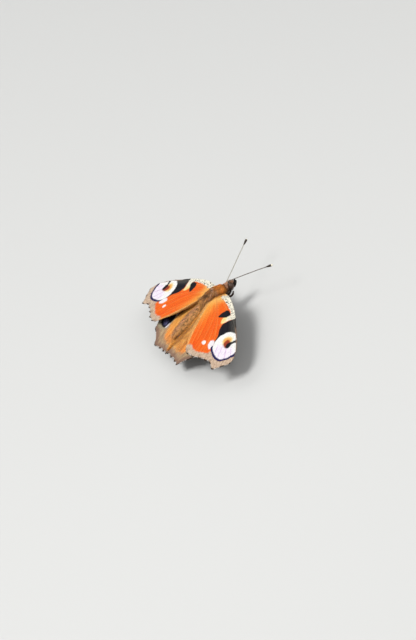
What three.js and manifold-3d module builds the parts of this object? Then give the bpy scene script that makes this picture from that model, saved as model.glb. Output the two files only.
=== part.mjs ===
// Peacock butterfly, life size, standing with its wings spread and swept back.
// Millimetres, +Z up, the head towards -Y, the animal's left side towards +X.
import * as THREE from "three";
import { mergeVertices } from "three/addons/utils/BufferGeometryUtils.js";
import Module from "manifold-3d";

const wasm = await Module();
wasm.setup();

// Driving dimensions. Places on the body are given as [sideways, forward, up] from the
// middle of the line between the two forewing hinges, which stands this far off the floor.
const HINGE_HEIGHT = 8.6;
const GAP = 0.3;

// Rings along the trunk: how far forward, half width, half height and height of the centre
const THORAX = [
  { forward: 3.75, half_width: 1.42, half_height: 1.6, up: -0.62 },
  { forward: 3.2, half_width: 1.75, half_height: 1.98, up: -0.64 },
  { forward: 2.2, half_width: 2.05, half_height: 2.35, up: -0.62 },
  { forward: 0.8, half_width: 2.28, half_height: 2.62, up: -0.58 },
  { forward: -0.8, half_width: 2.3, half_height: 2.62, up: -0.56 },
  { forward: -2.3, half_width: 2.12, half_height: 2.35, up: -0.58 },
  { forward: -3.4, half_width: 1.8, half_height: 1.95, up: -0.6 },
  { forward: -4.2, half_width: 1.35, half_height: 1.4, up: -0.62 },
];
const HEAD = [
  { forward: 4.05, half_width: 1.4, half_height: 1.5, up: -0.62 },
  { forward: 4.4, half_width: 1.15, half_height: 1.35, up: -0.6 },
  { forward: 4.8, half_width: 0.9, half_height: 1.14, up: -0.48 },
  { forward: 5.3, half_width: 0.82, half_height: 1.05, up: -0.4 },
  { forward: 5.8, half_width: 0.72, half_height: 0.92, up: -0.42 },
  { forward: 6.15, half_width: 0.52, half_height: 0.6, up: -0.36 },
  { forward: 6.38, half_width: 0.25, half_height: 0.28, up: -0.34 },
];
const EYE = { place: [0.85, 5.2, -0.62], radii: [0.95, 0.9, 1.05] };
const ABDOMEN = { front: -4.5, length: 11.7, radius: 1.72, up: -0.55, pitch: 7.5, segments: 8, step: 0.05 };

const PALP = {
  path: [[0.55, 5.95, -1.6], [0.58, 6.4, -1.25], [0.54, 6.85, -0.85], [0.48, 7.15, -0.5]],
  radii: [0.28, 0.34, 0.32, 0.16],
};
const TONGUE = { forward: 5.2, up: -2.3, inner: 0.2, outer: 0.52, turns: 1.1, radius: 0.22, flat: 0.55 };
const ANTENNA = {
  path: [[0.5, 5.45, 0.78], [2.9, 8.4, 1.02], [5.6, 11.5, 1.25], [8.2, 14.5, 1.42], [10.75, 17.4, 1.5]],
  stretch: { left: 1.03, right: 0.97 },
  shaft: 0.25,
  club: 0.48,
  club_share: 0.2,
};

// Legs as the points of their joints: root on the thorax, then the joints down to the claws
const MID_LEG = {
  name: "midleg",
  joints: [[1.0, 1.7, -3.16], [1.35, 2.3, -4.05], [4.1, 2.2, -3.5], [4.9, -0.2, -8.0], [7.2, -2.4, -8.38]],
};
const HIND_LEG = {
  name: "hindleg",
  joints: [[0.92, -2.3, -3.05], [1.6, -2.9, -4.65], [5.0, -6.5, -4.0], [7.4, -9.8, -8.0], [8.9, -14.0, -8.38]],
};
const LEG_SEGMENTS = [
  { name: "coxa", start: 0.5, middle: 0.5, end: 0.36 },
  { name: "femur", start: 0.34, middle: 0.4, end: 0.3 },
  { name: "tibia", start: 0.28, middle: 0.28, end: 0.25 },
  { name: "tarsus", start: 0.25, middle: 0.25, end: 0.2 },
];
const FORELEG = {
  path: [[0.72, 3.15, -2.98], [0.85, 3.6, -3.1], [0.92, 4.2, -2.95], [0.85, 4.75, -2.5]],
  radii: [0.28, 0.33, 0.28, 0.18],
};

// The wings. Places in a wing's own plane are [out, ahead] from its hinge. Each vein starts
// on the root line, passes its cell point half way and ends on the margin. The first and
// last entries are the leading and the trailing edge.
const MEMBRANE = 0.5;
const VEIN_RISE = 0.2;
const VEIN_HALF_WIDTH = 0.34;
const FOREWING = {
  name: "forewing",
  hinge: [2.3, 0, 0.8],
  sweep: 48.6,
  dihedral: -3.4,
  pitch: 2.4,
  droop: 0.5,
  root: [2.3, -1.3],
  veins: [
    { root: 0, cell: [4.6, 7.75], end: [14.5, 12.65] },
    { root: 0.15, cell: [8.5, 8.7], end: [18.0, 14.35] },
    { root: 0.22, cell: [10.0, 9.15], end: [21.8, 15.75] },
    { root: 0.28, cell: [11.0, 9.4], end: [25.2, 16.5] },
    { root: 0.34, cell: [11.8, 9.55], end: [28.2, 15.8] },
    { root: 0.4, cell: [12.4, 9.5], end: [28.8, 13.1] },
    { root: 0.46, cell: [12.9, 9.3], end: [29.1, 9.65] },
    { root: 0.53, cell: [13.6, 7.6], end: [26.6, 8.2], starts: 0.48 },
    { root: 0.6, cell: [13.2, 5.6], end: [25.1, 6.0] },
    { root: 0.67, cell: [11.6, 4.3], end: [24.0, 3.5] },
    { root: 0.74, cell: [9.8, 3.0], end: [23.0, 0.6] },
    { root: 0.88, cell: [9.9, -0.8], end: [21.2, -1.8] },
    { root: 1, cell: [10.5, -3.05], end: [19.5, -2.95] },
  ],
  crossvein: [6, 8],
  close: [2, 3, 4, 5, 6],
  scalloped_from: 6,
  scallop: 0.42,
  fold: 0,
  dip: 1.4,
};
const HINDWING = {
  name: "hindwing",
  hinge: [2.15, -2.4, -0.45],
  sweep: 18,
  dihedral: -2.9,
  pitch: 8,
  droop: 0.6,
  root: [0.9, -1.2],
  veins: [
    { root: 0, cell: [7.6, 3.5], end: [14.6, 3.7] },
    { root: 0.22, cell: [9.0, 2.4], end: [18.2, 2.4] },
    { root: 0.34, cell: [9.6, 0.9], end: [20.0, -1.8] },
    { root: 0.44, cell: [9.6, -0.5], end: [18.7, -6.4] },
    { root: 0.52, cell: [9.3, -3.1], end: [15.7, -11.1], starts: 0.45 },
    { root: 0.6, cell: [8.2, -5.5], end: [12.4, -15.9] },
    { root: 0.68, cell: [6.8, -6.5], end: [9.6, -16.5] },
    { root: 0.76, cell: [5.2, -7.1], end: [6.8, -17.3] },
    { root: 0.88, cell: [3.4, -7.75], end: [4.3, -18.1] },
    { root: 1, cell: [2.35, -8.2], end: [3.75, -17.15] },
  ],
  crossvein: [3, 5],
  close: [],
  scalloped_from: 2,
  scallop: 0.55,
  fold: 1.9,
  dip: 0,
};
// The left wings are held a little lower and further back than the right ones
const LEFT_WINGS = {
  forewing: { back: 0.35, drop: 0.55, pitch: 3.2 },
  hindwing: { back: 0.35, drop: 0.3, pitch: 8 },
};
// The hindwings fold down towards the body, from the outer of these distances to the inner
const FOLD_FROM = 14.5;
const FOLD_TO = 6;
// The forewing's front corner dips towards the chest, over these spans ahead and sideways of its hinge
const DIP_AHEAD = [-0.9, 2.6];
const DIP_SIDEWAYS = [-0.5, 6.5];
const WING_ROWS = [0, 0.12, 0.27, 0.42, 0.46, 0.5, 0.62, 0.74, 0.86, 0.95, 1];
const CROSSVEIN_ROW = 4;

const FINISH = {
  scales_fore: { color: 0xd8481c, roughness: 0.75 },
  scales_hind: { color: 0xcf6a26, roughness: 0.75 },
  fur: { color: 0x7a4220, roughness: 0.95 },
  dark_fur: { color: 0x3a2a20, roughness: 0.9 },
  eye: { color: 0x1c1410, roughness: 0.35 },
  leg: { color: 0x4a3424, roughness: 0.7 },
  antenna: { color: 0x2a221e, roughness: 0.6 },
};

const radians = THREE.MathUtils.degToRad;

// A place on the body, with side 1 for the left and -1 for the right
function place([sideways, forward, up], side = 1) {
  return new THREE.Vector3(side * sideways, -forward, up + HINGE_HEIGHT);
}

function signedVolume(geometry) {
  const position = geometry.getAttribute("position");
  const index = geometry.getIndex();
  const corner = [new THREE.Vector3(), new THREE.Vector3(), new THREE.Vector3()];
  let volume = 0;
  for (let i = 0; i < index.count; i += 3) {
    corner.forEach((point, k) => point.fromBufferAttribute(position, index.getX(i + k)));
    volume += corner[0].dot(corner[1].cross(corner[2])) / 6;
  }
  return volume;
}

// A closed body from its points and triangles, with its faces turned outwards
function closedBody(points, triangles) {
  const geometry = new THREE.BufferGeometry().setFromPoints(points);
  geometry.setIndex(triangles.flat());
  if (signedVolume(geometry) < 0) {
    geometry.setIndex(triangles.map(([a, b, c]) => [a, c, b]).flat());
  }
  geometry.computeVertexNormals();
  return geometry;
}

// Rings of equal count joined one to the next, with a flat cap or a point at each end
function loft(rings) {
  const sides = rings[0].length;
  const points = rings.flat();
  const triangles = [];
  for (let k = 0; k + 1 < rings.length; k += 1) {
    for (let i = 0; i < sides; i += 1) {
      const a = k * sides + i;
      const b = k * sides + ((i + 1) % sides);
      triangles.push([a, b, b + sides], [a, b + sides, a + sides]);
    }
  }
  [0, rings.length - 1].forEach((k) => {
    const centre = rings[k].reduce((sum, point) => sum.add(point), new THREE.Vector3());
    points.push(centre.divideScalar(sides));
    const start = k * sides;
    for (let i = 0; i < sides; i += 1) {
      const pair = [start + i, start + ((i + 1) % sides)];
      if (k === 0) {
        pair.reverse();
      }
      triangles.push([...pair, points.length - 1]);
    }
  });
  return closedBody(points, triangles);
}

// An upright oval ring across the trunk, given in body places
function trunkRing({ forward, half_width, half_height, up }, sides, grow = 0) {
  return Array.from({ length: sides }, (_, i) => {
    const angle = (2 * Math.PI * (i + 0.5)) / sides;
    const sideways = (half_width + grow) * Math.cos(angle);
    return place([sideways, forward, up + (half_height + grow) * Math.sin(angle)]);
  });
}

// Half the thorax's width at a place along it and a height, both in body places
function thoraxHalfWidth(forward, up) {
  const next = THORAX.findIndex((ring) => ring.forward <= forward);
  const [front, rear] = [THORAX[next - 1], THORAX[next]];
  const share = (front.forward - forward) / (front.forward - rear.forward);
  const mix = (key) => THREE.MathUtils.lerp(front[key], rear[key], share);
  const height = (up - mix("up")) / mix("half_height");
  return mix("half_width") * Math.sqrt(Math.max(0, 1 - height * height));
}

// A tapered round limb through its points. The first and last rings lie in the planes whose
// normals are given, so that two limbs meet face to face, half a gap off their joint.
function limb(path, radii, { sides = 8, first = null, last = null, floor = null } = {}) {
  const tangent = (k) => {
    const ahead = path[Math.min(k + 1, path.length - 1)];
    return ahead.clone().sub(path[Math.max(k - 1, 0)]).normalize();
  };
  const across = new THREE.Vector3(0, 0, 1);
  const rings = path.map((centre, k) => {
    const along = tangent(k);
    const level = new THREE.Vector3().crossVectors(across, along).normalize();
    const steep = new THREE.Vector3().crossVectors(along, level);
    const plane = k === 0 ? first : k === path.length - 1 ? last : null;
    return Array.from({ length: sides }, (_, i) => {
      const angle = (2 * Math.PI * (i + 0.5)) / sides;
      const point = centre.clone();
      point.addScaledVector(level, radii[k] * Math.cos(angle));
      point.addScaledVector(steep, radii[k] * Math.sin(angle));
      if (plane) {
        const off = centre.clone().sub(point).dot(plane) / along.dot(plane);
        point.addScaledVector(along, off);
      }
      if (floor !== null) {
        point.z = Math.max(point.z, floor);
      }
      return point;
    });
  });
  return loft(rings);
}

function smoothPath(points, steps) {
  return new THREE.CatmullRomCurve3(points).getSpacedPoints(steps);
}

function toSolid(geometry) {
  const bare = geometry.clone();
  bare.deleteAttribute("normal");
  bare.deleteAttribute("uv");
  const merged = mergeVertices(bare, 1e-4);
  return new wasm.Manifold(new wasm.Mesh({
    numProp: 3,
    vertProperties: new Float32Array(merged.getAttribute("position").array),
    triVerts: new Uint32Array(merged.getIndex().array),
  }));
}

// The largest closed surface of a solid, as geometry
function fromSolid(solid) {
  const pieces = solid.decompose();
  const largest = pieces.reduce((a, b) => (b.volume() > a.volume() ? b : a));
  const mesh = largest.getMesh();
  const geometry = new THREE.BufferGeometry();
  geometry.setAttribute("position", new THREE.BufferAttribute(mesh.vertProperties, 3));
  geometry.setIndex(new THREE.BufferAttribute(mesh.triVerts, 1));
  geometry.computeVertexNormals();
  return geometry;
}

const group = new THREE.Group();

function addNode(name, geometry, finish) {
  const mesh = new THREE.Mesh(geometry, new THREE.MeshStandardMaterial(FINISH[finish]));
  mesh.name = name;
  group.add(mesh);
}

const SIDES = [{ side: 1, word: "left" }, { side: -1, word: "right" }];

// Trunk
function makeThorax() {
  return loft(THORAX.map((ring) => trunkRing(ring, 20)));
}

function makeHead(grow = 0) {
  return loft(HEAD.map((ring) => trunkRing(ring, 18, grow)));
}

function makeAbdomen() {
  const { front, length, radius, up, pitch, segments, step } = ABDOMEN;
  const swell = (share) => radius * Math.sin(Math.PI * (0.2 + 0.78 * share)) ** 0.55;
  const rings = [];
  for (let k = 0; k < segments; k += 1) {
    [0, 0.85].forEach((part, edge) => {
      const share = (k + part) / segments;
      const size = swell(share) * (1 - (edge ? 0 : step));
      rings.push({ share, size });
    });
  }
  rings.push({ share: 1, size: swell(1) });
  return loft(rings.map(({ share, size }) => trunkRing({
    forward: front - share * length,
    half_width: size,
    half_height: size * 0.96,
    up: up - share * length * Math.tan(radians(pitch)),
  }, 16)));
}

// An eye is a dome on the side of the head, cut back from it by the gap
function makeEye(side, cutter) {
  const dome = new THREE.SphereGeometry(1, 18, 12);
  dome.scale(...EYE.radii);
  const centre = place(EYE.place, side);
  dome.translate(centre.x, centre.y, centre.z);
  const side_only = new THREE.BoxGeometry(4, 4, 4);
  side_only.translate(side * (2 + 2 * GAP), centre.y, centre.z);
  return fromSolid(toSolid(dome).subtract(cutter).intersect(toSolid(side_only)));
}

function makePalp(side) {
  const path = PALP.path.map((point) => place(point, side));
  return limb(path, PALP.radii, { first: new THREE.Vector3(0, -1, 0) });
}

// The tongue is carried as an open coil, in the plane between the palps
function makeTongue() {
  const { forward, up, inner, outer, turns, radius, flat } = TONGUE;
  const steps = 22;
  const rings = Array.from({ length: steps + 1 }, (_, k) => {
    const share = k / steps;
    const angle = Math.PI * 0.5 + share * turns * 2 * Math.PI;
    const reach = THREE.MathUtils.lerp(outer, inner, share);
    const ring = [];
    for (let i = 0; i < 6; i += 1) {
      const turn = (2 * Math.PI * i) / 6;
      const out = reach + radius * flat * Math.cos(turn);
      ring.push(place([
        radius * Math.sin(turn),
        forward - out * Math.cos(angle),
        up + out * Math.sin(angle),
      ]));
    }
    return ring;
  });
  return loft(rings);
}

function makeAntenna(side, word) {
  const base = place(ANTENNA.path[0], side);
  const points = ANTENNA.path.map((point) => place(point, side));
  points.forEach((point) => point.sub(base).multiplyScalar(ANTENNA.stretch[word]).add(base));
  const path = smoothPath(points, 16);
  const last = path.length - 1;
  const radii = path.map((_, k) => {
    const share = Math.max(0, (k / last - 1 + ANTENNA.club_share) / ANTENNA.club_share);
    const swell = Math.sin(Math.min(1, share * 1.25) * Math.PI * 0.5) ** 2;
    const blunt = share > 0.8 ? Math.sqrt(Math.max(0.1, 1 - ((share - 0.8) / 0.2) ** 2)) : 1;
    return (ANTENNA.shaft + (ANTENNA.club - ANTENNA.shaft) * swell) * blunt;
  });
  return limb(path, radii);
}

// Legs
function addLeg({ name, joints }, side, word) {
  const points = joints.map((joint) => place(joint, side));
  const directions = points.slice(1).map((point, k) => point.clone().sub(points[k]).normalize());
  LEG_SEGMENTS.forEach(({ name: segment, start, middle, end }, k) => {
    const along = directions[k];
    const bisector = (a, b) => (b ? a.clone().add(b).normalize() : a.clone());
    const first = k === 0 ? along : bisector(directions[k - 1], along);
    const last = bisector(along, directions[k + 1]);
    const from = points[k].clone();
    const to = points[k + 1].clone();
    if (k > 0) {
      from.addScaledVector(along, GAP / 2 / along.dot(first));
    }
    if (directions[k + 1]) {
      to.addScaledVector(along, -GAP / 2 / along.dot(last));
    }
    const steps = 4;
    const path = Array.from({ length: steps + 1 }, (_, i) => from.clone().lerp(to, i / steps));
    const radii = path.map((_, i) => {
      const share = i / steps;
      return share < 0.5
        ? THREE.MathUtils.lerp(start, middle, share * 2)
        : THREE.MathUtils.lerp(middle, end, share * 2 - 1);
    });
    if (segment === "tarsus") {
      path.forEach((point, i) => {
        point.z = i === 0 ? point.z : radii[i] * 0.85;
      });
    }
    addNode(`${name}_${segment}_${word}`, limb(path, radii, { first, last, floor: 0 }), "leg");
  });
}

function makeForeleg(side) {
  const path = smoothPath(FORELEG.path.map((point) => place(point, side)), 6);
  const radii = path.map((_, k) => {
    const at = (k / (path.length - 1)) * (FORELEG.radii.length - 1);
    const low = Math.min(Math.floor(at), FORELEG.radii.length - 2);
    return THREE.MathUtils.lerp(FORELEG.radii[low], FORELEG.radii[low + 1], at - low);
  });
  return limb(path, radii, { first: new THREE.Vector3(0, -1, -1).normalize() });
}

// A wing with its hinge and pitch as they are on that side
function asHeld(wing, word) {
  if (word === "right") {
    return wing;
  }
  const { back, drop, pitch } = LEFT_WINGS[wing.name];
  const [sideways, forward, up] = wing.hinge;
  return { ...wing, pitch, hinge: [sideways, forward - back, up - drop] };
}

// A wing's own frame: its axes out and ahead, and its upward normal
function wingFrame(wing, side) {
  const outward = new THREE.Vector3(Math.cos(radians(wing.dihedral)) * side, 0, Math.sin(radians(wing.dihedral)));
  const forward = new THREE.Vector3(0, -Math.cos(radians(wing.pitch)), Math.sin(radians(wing.pitch)));
  forward.addScaledVector(outward, -forward.dot(outward)).normalize();
  const normal = new THREE.Vector3().crossVectors(outward, forward).multiplyScalar(-side);
  return { outward, forward, normal, hinge: place(wing.hinge, side) };
}

// Out and ahead in the wing's plane from sideways and forward of its hinge, and back
function toWing(wing, sideways, forward) {
  const [c, s] = [Math.cos(radians(wing.sweep)), Math.sin(radians(wing.sweep))];
  return new THREE.Vector2(sideways * c - forward * s, sideways * s + forward * c);
}

function fromWing(wing, at) {
  const [c, s] = [Math.cos(radians(wing.sweep)), Math.sin(radians(wing.sweep))];
  return new THREE.Vector2(at.x * c + at.y * s, -at.x * s + at.y * c);
}

function frontDip(wing, sideways, ahead) {
  const front = THREE.MathUtils.smoothstep(ahead, ...DIP_AHEAD);
  return wing.dip * front * (1 - THREE.MathUtils.smoothstep(sideways, ...DIP_SIDEWAYS));
}

// Each vein as a curve in the wing's plane. The root follows the side of the thorax.
function veinCurves(wing) {
  return wing.veins.map((vein) => {
    const forward = THREE.MathUtils.lerp(wing.root[0], wing.root[1], vein.root);
    const height = wing.hinge[2] - frontDip(wing, 0, forward);
    const width = thoraxHalfWidth(wing.hinge[1] + forward, height);
    const root = toWing(wing, width + GAP - wing.hinge[0], forward);
    const cell = new THREE.Vector2(...vein.cell);
    const end = new THREE.Vector2(...vein.end);
    const bend = cell.clone().multiplyScalar(2).sub(root.clone().add(end).multiplyScalar(0.5));
    return new THREE.QuadraticBezierCurve(root, bend, end);
  });
}

// The columns of a wing's grid: three on each vein, and one half way to the next
function wingColumns(wing) {
  const curves = veinCurves(wing);
  const columns = [];
  curves.forEach((curve, k) => {
    const edge = k === 0 || k === curves.length - 1;
    const ridge = edge ? 0.5 : 1;
    const starts = wing.veins[k].starts ?? 0;
    if (k > 0) {
      if (!wing.close.includes(k)) {
        columns.push({ from: k, to: k - 1, off: "middle" });
      }
      columns.push({ from: k, to: k - 1, off: "flank" });
    }
    columns.push({ from: k, to: k, off: "crest", ridge, starts });
    if (k < curves.length - 1) {
      columns.push({ from: k, to: k + 1, off: "flank" });
    }
  });
  return { curves, columns };
}

function makeWing(wing, side) {
  const { outward, forward, normal, hinge } = wingFrame(wing, side);
  const { curves, columns } = wingColumns(wing);
  const top = [];
  const bottom = [];
  WING_ROWS.forEach((share, row) => {
    const crests = curves.map((curve) => curve.getPoint(share));
    columns.forEach(({ from, to, off, ridge = 0, starts = 0 }) => {
      const at = crests[from].clone();
      const gap = crests[from].distanceTo(crests[to]);
      let rise = off === "crest" ? ridge : 0;
      let pleat = 0;
      if (off === "middle") {
        at.lerp(crests[to], 0.5);
        rise = Math.max(0, 1 - gap / 2 / VEIN_HALF_WIDTH);
        pleat = -0.12 * Math.min(1, gap / 3);
        const outermost = Math.min(from, to) >= wing.scalloped_from && row === WING_ROWS.length - 1;
        if (outermost) {
          at.addScaledVector(at.clone().normalize(), -wing.scallop);
        }
      }
      if (off === "flank") {
        const step = Math.min(0.3, VEIN_HALF_WIDTH / gap);
        at.lerp(crests[to], step);
        rise = Math.max(0, 1 - (gap * step) / VEIN_HALF_WIDTH);
      }
      const [cross_from, cross_to] = wing.crossvein;
      const in_cell = Math.min(from, to) >= cross_from && Math.max(from, to) <= cross_to;
      if (share < starts) {
        rise = 0;
      }
      if (in_cell && row === CROSSVEIN_ROW) {
        rise = Math.max(rise, 0.8);
      }
      rise *= Math.min(1, 0.25 + share * 3) * (1 - 0.4 * share);
      const [sideways, ahead] = fromWing(wing, at).toArray();
      const middle = hinge.clone().addScaledVector(outward, sideways).addScaledVector(forward, ahead);
      const inner = 1 - THREE.MathUtils.smoothstep(Math.abs(middle.x), FOLD_TO, FOLD_FROM);
      const bend = wing.droop * (at.x / 25) ** 2 + wing.fold * inner * share ** 2;
      const level = pleat - bend - frontDip(wing, sideways, ahead);
      top.push(middle.clone().addScaledVector(normal, level + MEMBRANE / 2 + rise * VEIN_RISE));
      bottom.push(middle.clone().addScaledVector(normal, level - MEMBRANE / 2 - rise * VEIN_RISE * 0.5));
    });
  });
  return closedBody([...top, ...bottom], sheetTriangles(WING_ROWS.length, columns.length));
}

// Triangles of a sheet with two like faces and a rim
function sheetTriangles(rows, columns) {
  const triangles = [];
  const count = rows * columns;
  for (let r = 0; r + 1 < rows; r += 1) {
    for (let c = 0; c + 1 < columns; c += 1) {
      const [a, b] = [r * columns + c, r * columns + c + 1];
      const [d, e] = [a + columns, b + columns];
      const split = (r + c) % 2 ? [[a, b, d], [b, e, d]] : [[a, b, e], [a, e, d]];
      split.forEach(([i, j, k]) => triangles.push([i, j, k], [i + count, k + count, j + count]));
    }
  }
  const rim = [];
  for (let c = 0; c + 1 < columns; c += 1) {
    rim.push([c, c + 1]);
    rim.push([(rows - 1) * columns + c + 1, (rows - 1) * columns + c]);
  }
  for (let r = 0; r + 1 < rows; r += 1) {
    rim.push([(r + 1) * columns, r * columns]);
    rim.push([r * columns + columns - 1, (r + 1) * columns + columns - 1]);
  }
  rim.forEach(([a, b]) => triangles.push([b, a, a + count], [b, a + count, b + count]));
  return triangles;
}

addNode("head", makeHead(), "fur");
addNode("thorax", makeThorax(), "fur");
addNode("abdomen", makeAbdomen(), "fur");
addNode("proboscis", makeTongue(), "dark_fur");
const around_head = toSolid(makeHead(GAP));
SIDES.forEach(({ side, word }) => {
  addNode(`eye_${word}`, makeEye(side, around_head), "eye");
  addNode(`palp_${word}`, makePalp(side), "dark_fur");
  addNode(`antenna_${word}`, makeAntenna(side, word), "antenna");
  addNode(`forewing_${word}`, makeWing(asHeld(FOREWING, word), side), "scales_fore");
  addNode(`hindwing_${word}`, makeWing(asHeld(HINDWING, word), side), "scales_hind");
  addNode(`foreleg_${word}`, makeForeleg(side), "leg");
  addLeg(MID_LEG, side, word);
  addLeg(HIND_LEG, side, word);
});

// The origin is under the middle of the whole animal, on the floor
const reach = new THREE.Box3().setFromObject(group);
group.position.y = -(reach.min.y + reach.max.y) / 2;
group.updateMatrixWorld(true);

export default group;
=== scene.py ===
import math

import bpy
import numpy as np
from mathutils import Matrix, Vector


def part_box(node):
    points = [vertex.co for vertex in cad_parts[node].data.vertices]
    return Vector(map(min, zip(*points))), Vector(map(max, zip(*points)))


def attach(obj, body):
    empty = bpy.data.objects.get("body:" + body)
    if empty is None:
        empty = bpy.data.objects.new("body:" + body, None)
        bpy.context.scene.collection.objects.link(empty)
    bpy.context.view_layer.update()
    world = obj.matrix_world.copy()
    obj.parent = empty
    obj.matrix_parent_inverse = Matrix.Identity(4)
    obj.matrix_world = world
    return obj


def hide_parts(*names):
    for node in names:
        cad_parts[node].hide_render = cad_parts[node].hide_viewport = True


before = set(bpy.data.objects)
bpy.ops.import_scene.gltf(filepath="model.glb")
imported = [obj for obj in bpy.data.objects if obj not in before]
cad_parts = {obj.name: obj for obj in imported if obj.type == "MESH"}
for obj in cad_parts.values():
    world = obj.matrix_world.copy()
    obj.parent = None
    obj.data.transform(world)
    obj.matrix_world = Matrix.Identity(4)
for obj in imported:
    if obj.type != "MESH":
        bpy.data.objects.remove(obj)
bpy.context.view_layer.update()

# Sizes are in millimetres, as the solids were drawn, and become metres when a mesh is made.
# Places on the body are sideways, forward and up from the middle between the forewing hinges.
MM = 0.001
HINGE_HEIGHT = 8.6
THORAX_FRONT = 3.75
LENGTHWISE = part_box("thorax")[0].y / MM + THORAX_FRONT
SIDES = ((1, "left"), (-1, "right"))

# Trunk: forward, half width, half height and height of the centre, from face to waist
THORAX_WIDTHS = (
    (3.75, 1.42, 1.6, -0.62), (3.2, 1.75, 1.98, -0.64), (2.2, 2.05, 2.35, -0.62),
    (0.8, 2.28, 2.62, -0.58), (-0.8, 2.3, 2.62, -0.56), (-2.3, 2.12, 2.35, -0.58),
    (-3.4, 1.8, 1.95, -0.6), (-4.2, 1.35, 1.4, -0.62),
)
HEAD_WIDTHS = (
    (6.3, 0.1, 0.12, -0.34), (6.25, 0.26, 0.32, -0.35), (6.05, 0.46, 0.58, -0.38),
    (5.7, 0.6, 0.82, -0.42), (5.25, 0.68, 0.93, -0.42), (4.8, 0.76, 1.0, -0.48),
    (4.4, 0.92, 1.12, -0.58), (4.05, 1.06, 1.22, -0.62),
)
ABDOMEN_FRONT = -4.5
ABDOMEN_LENGTH = 11.7
ABDOMEN_RADIUS = 1.72
ABDOMEN_UP = -0.55
ABDOMEN_SLOPE = math.tan(math.radians(7.5))
ABDOMEN_SEGMENTS = 8
ABDOMEN_STEPS = 60
THORAX_COAT = 0.34
ABDOMEN_COAT = 0.26
WIDEST = 2.1
# The upper flank, where the coat is longest: its height, depth, middle and half length
FLANK_UP = 0.7
FLANK_DEPTH = 0.8
FLANK_MIDDLE = -0.4
FLANK_HALF = 2.4

EYE_PLACE = (0.85, 5.2, -0.62)
EYE_RADII = (0.92, 0.88, 1.02)
EYE_CLEARANCE = 1.02

ANTENNA_PATH = ((0.5, 5.45, 0.78), (2.9, 8.4, 1.02), (5.6, 11.5, 1.25), (8.2, 14.5, 1.42), (10.75, 17.4, 1.5))
ANTENNA_ROOT = (0.42, 5.25, 0.3)
ANTENNA_STRETCH = {1: 1.03, -1: 0.97}
ANTENNA_RADIUS = 0.115
ANTENNA_CLUB = 0.34
ANTENNA_CLUB_SPAN = (0.83, 0.95)
ANTENNA_RINGS = 38
ANTENNA_STEPS = 36

PALP_PATH = (
    (0.42, 5.6, -1.2), (0.52, 5.95, -1.5), (0.56, 6.4, -1.22), (0.52, 6.85, -0.83), (0.46, 7.12, -0.52),
)
PALP_RADII = (0.2, 0.24, 0.27, 0.22, 0.08)

TONGUE = {"forward": 5.0, "up": -1.98, "inner": 0.1, "outer": 0.46, "turns": 2.0, "radius": 0.09}
TONGUE_ROOT = (0, 5.2, -1.2)
TONGUE_ROOT_RADIUS = 0.14
TONGUE_STEPS = 110

MID_LEG = ((0.95, 1.6, -2.7), (1.35, 2.3, -4.05), (4.1, 2.2, -3.5), (4.9, -0.2, -8.0), (7.2, -2.4, -8.42))
HIND_LEG = (
    (0.92, -2.3, -2.75), (1.6, -2.9, -4.65), (5.0, -6.5, -4.0), (7.4, -9.8, -8.0), (8.9, -14.0, -8.42),
)
LEG_RADII = (0.4, 0.46, 0.3, 0.24, 0.17, 0.11)
LEG_STEPS = 9
LEG_TIP_RADIUS = 0.05
LIMB_STEPS = 6
LIMB_HAIR_WIDTH = 0.028
FOOT_JOINTS = 5
CLAW_LENGTH = 0.36
FORELEG_PATH = (
    (0.6, 2.9, -2.3), (0.72, 3.15, -2.9), (0.85, 3.6, -3.1), (0.92, 4.2, -2.95), (0.85, 4.75, -2.5),
)
FORELEG_RADII = (0.2, 0.24, 0.24, 0.2, 0.08)
LEGS = (("midleg", MID_LEG), ("hindleg", HIND_LEG))

# Wings: places in a wing's own plane are out and ahead of its hinge. Each vein starts on the
# root line, passes its cell point half way and ends on the margin.
FOREWING = {
    "name": "forewing", "hinge": (2.3, 0.0, 0.8), "sweep": 48.6, "dihedral": -3.4, "pitch": 2.4,
    "droop": 0.5, "root": (2.3, -1.3), "fold": 0.0, "dip": 1.4,
    "veins": (
        (0.0, (4.6, 7.75), (14.5, 12.65)), (0.15, (8.5, 8.7), (18.0, 14.35)),
        (0.22, (10.0, 9.15), (21.8, 15.75)), (0.28, (11.0, 9.4), (25.2, 16.5)),
        (0.34, (11.8, 9.55), (28.2, 15.8)), (0.4, (12.4, 9.5), (28.8, 13.1)),
        (0.46, (12.9, 9.3), (29.1, 9.65)), (0.53, (13.6, 7.6), (26.6, 8.2)),
        (0.6, (13.2, 5.6), (25.1, 6.0)), (0.67, (11.6, 4.3), (24.0, 3.5)),
        (0.74, (9.8, 3.0), (23.0, 0.6)), (0.88, (9.9, -0.8), (21.2, -1.8)),
        (1.0, (10.5, -3.05), (19.5, -2.95)),
    ),
    "free_vein": (7, 0.48), "cell": (6, 8, 0.46), "scalloped_from": 6, "scallop": 0.42, "brown_from": 2.9,
}
HINDWING = {
    "name": "hindwing", "hinge": (2.15, -2.4, -0.45), "sweep": 18.0, "dihedral": -2.9, "pitch": 8.0,
    "droop": 0.6, "root": (0.9, -1.2), "fold": 1.9, "dip": 0.0,
    "veins": (
        (0.0, (7.6, 3.5), (14.6, 3.7)), (0.22, (9.0, 2.4), (18.2, 2.4)),
        (0.34, (9.6, 0.9), (20.0, -1.8)), (0.44, (9.6, -0.5), (18.7, -6.4)),
        (0.52, (9.3, -3.1), (15.7, -11.1)), (0.6, (8.2, -5.5), (12.4, -15.9)),
        (0.68, (6.8, -6.5), (9.6, -16.5)), (0.76, (5.2, -7.1), (6.8, -17.3)),
        (0.88, (3.4, -7.75), (4.3, -18.1)), (1.0, (2.35, -8.2), (3.75, -17.15)),
    ),
    "free_vein": (4, 0.45), "cell": (3, 5, 0.46), "scalloped_from": 2, "scallop": 0.55, "brown_from": 1.2,
}
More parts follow.
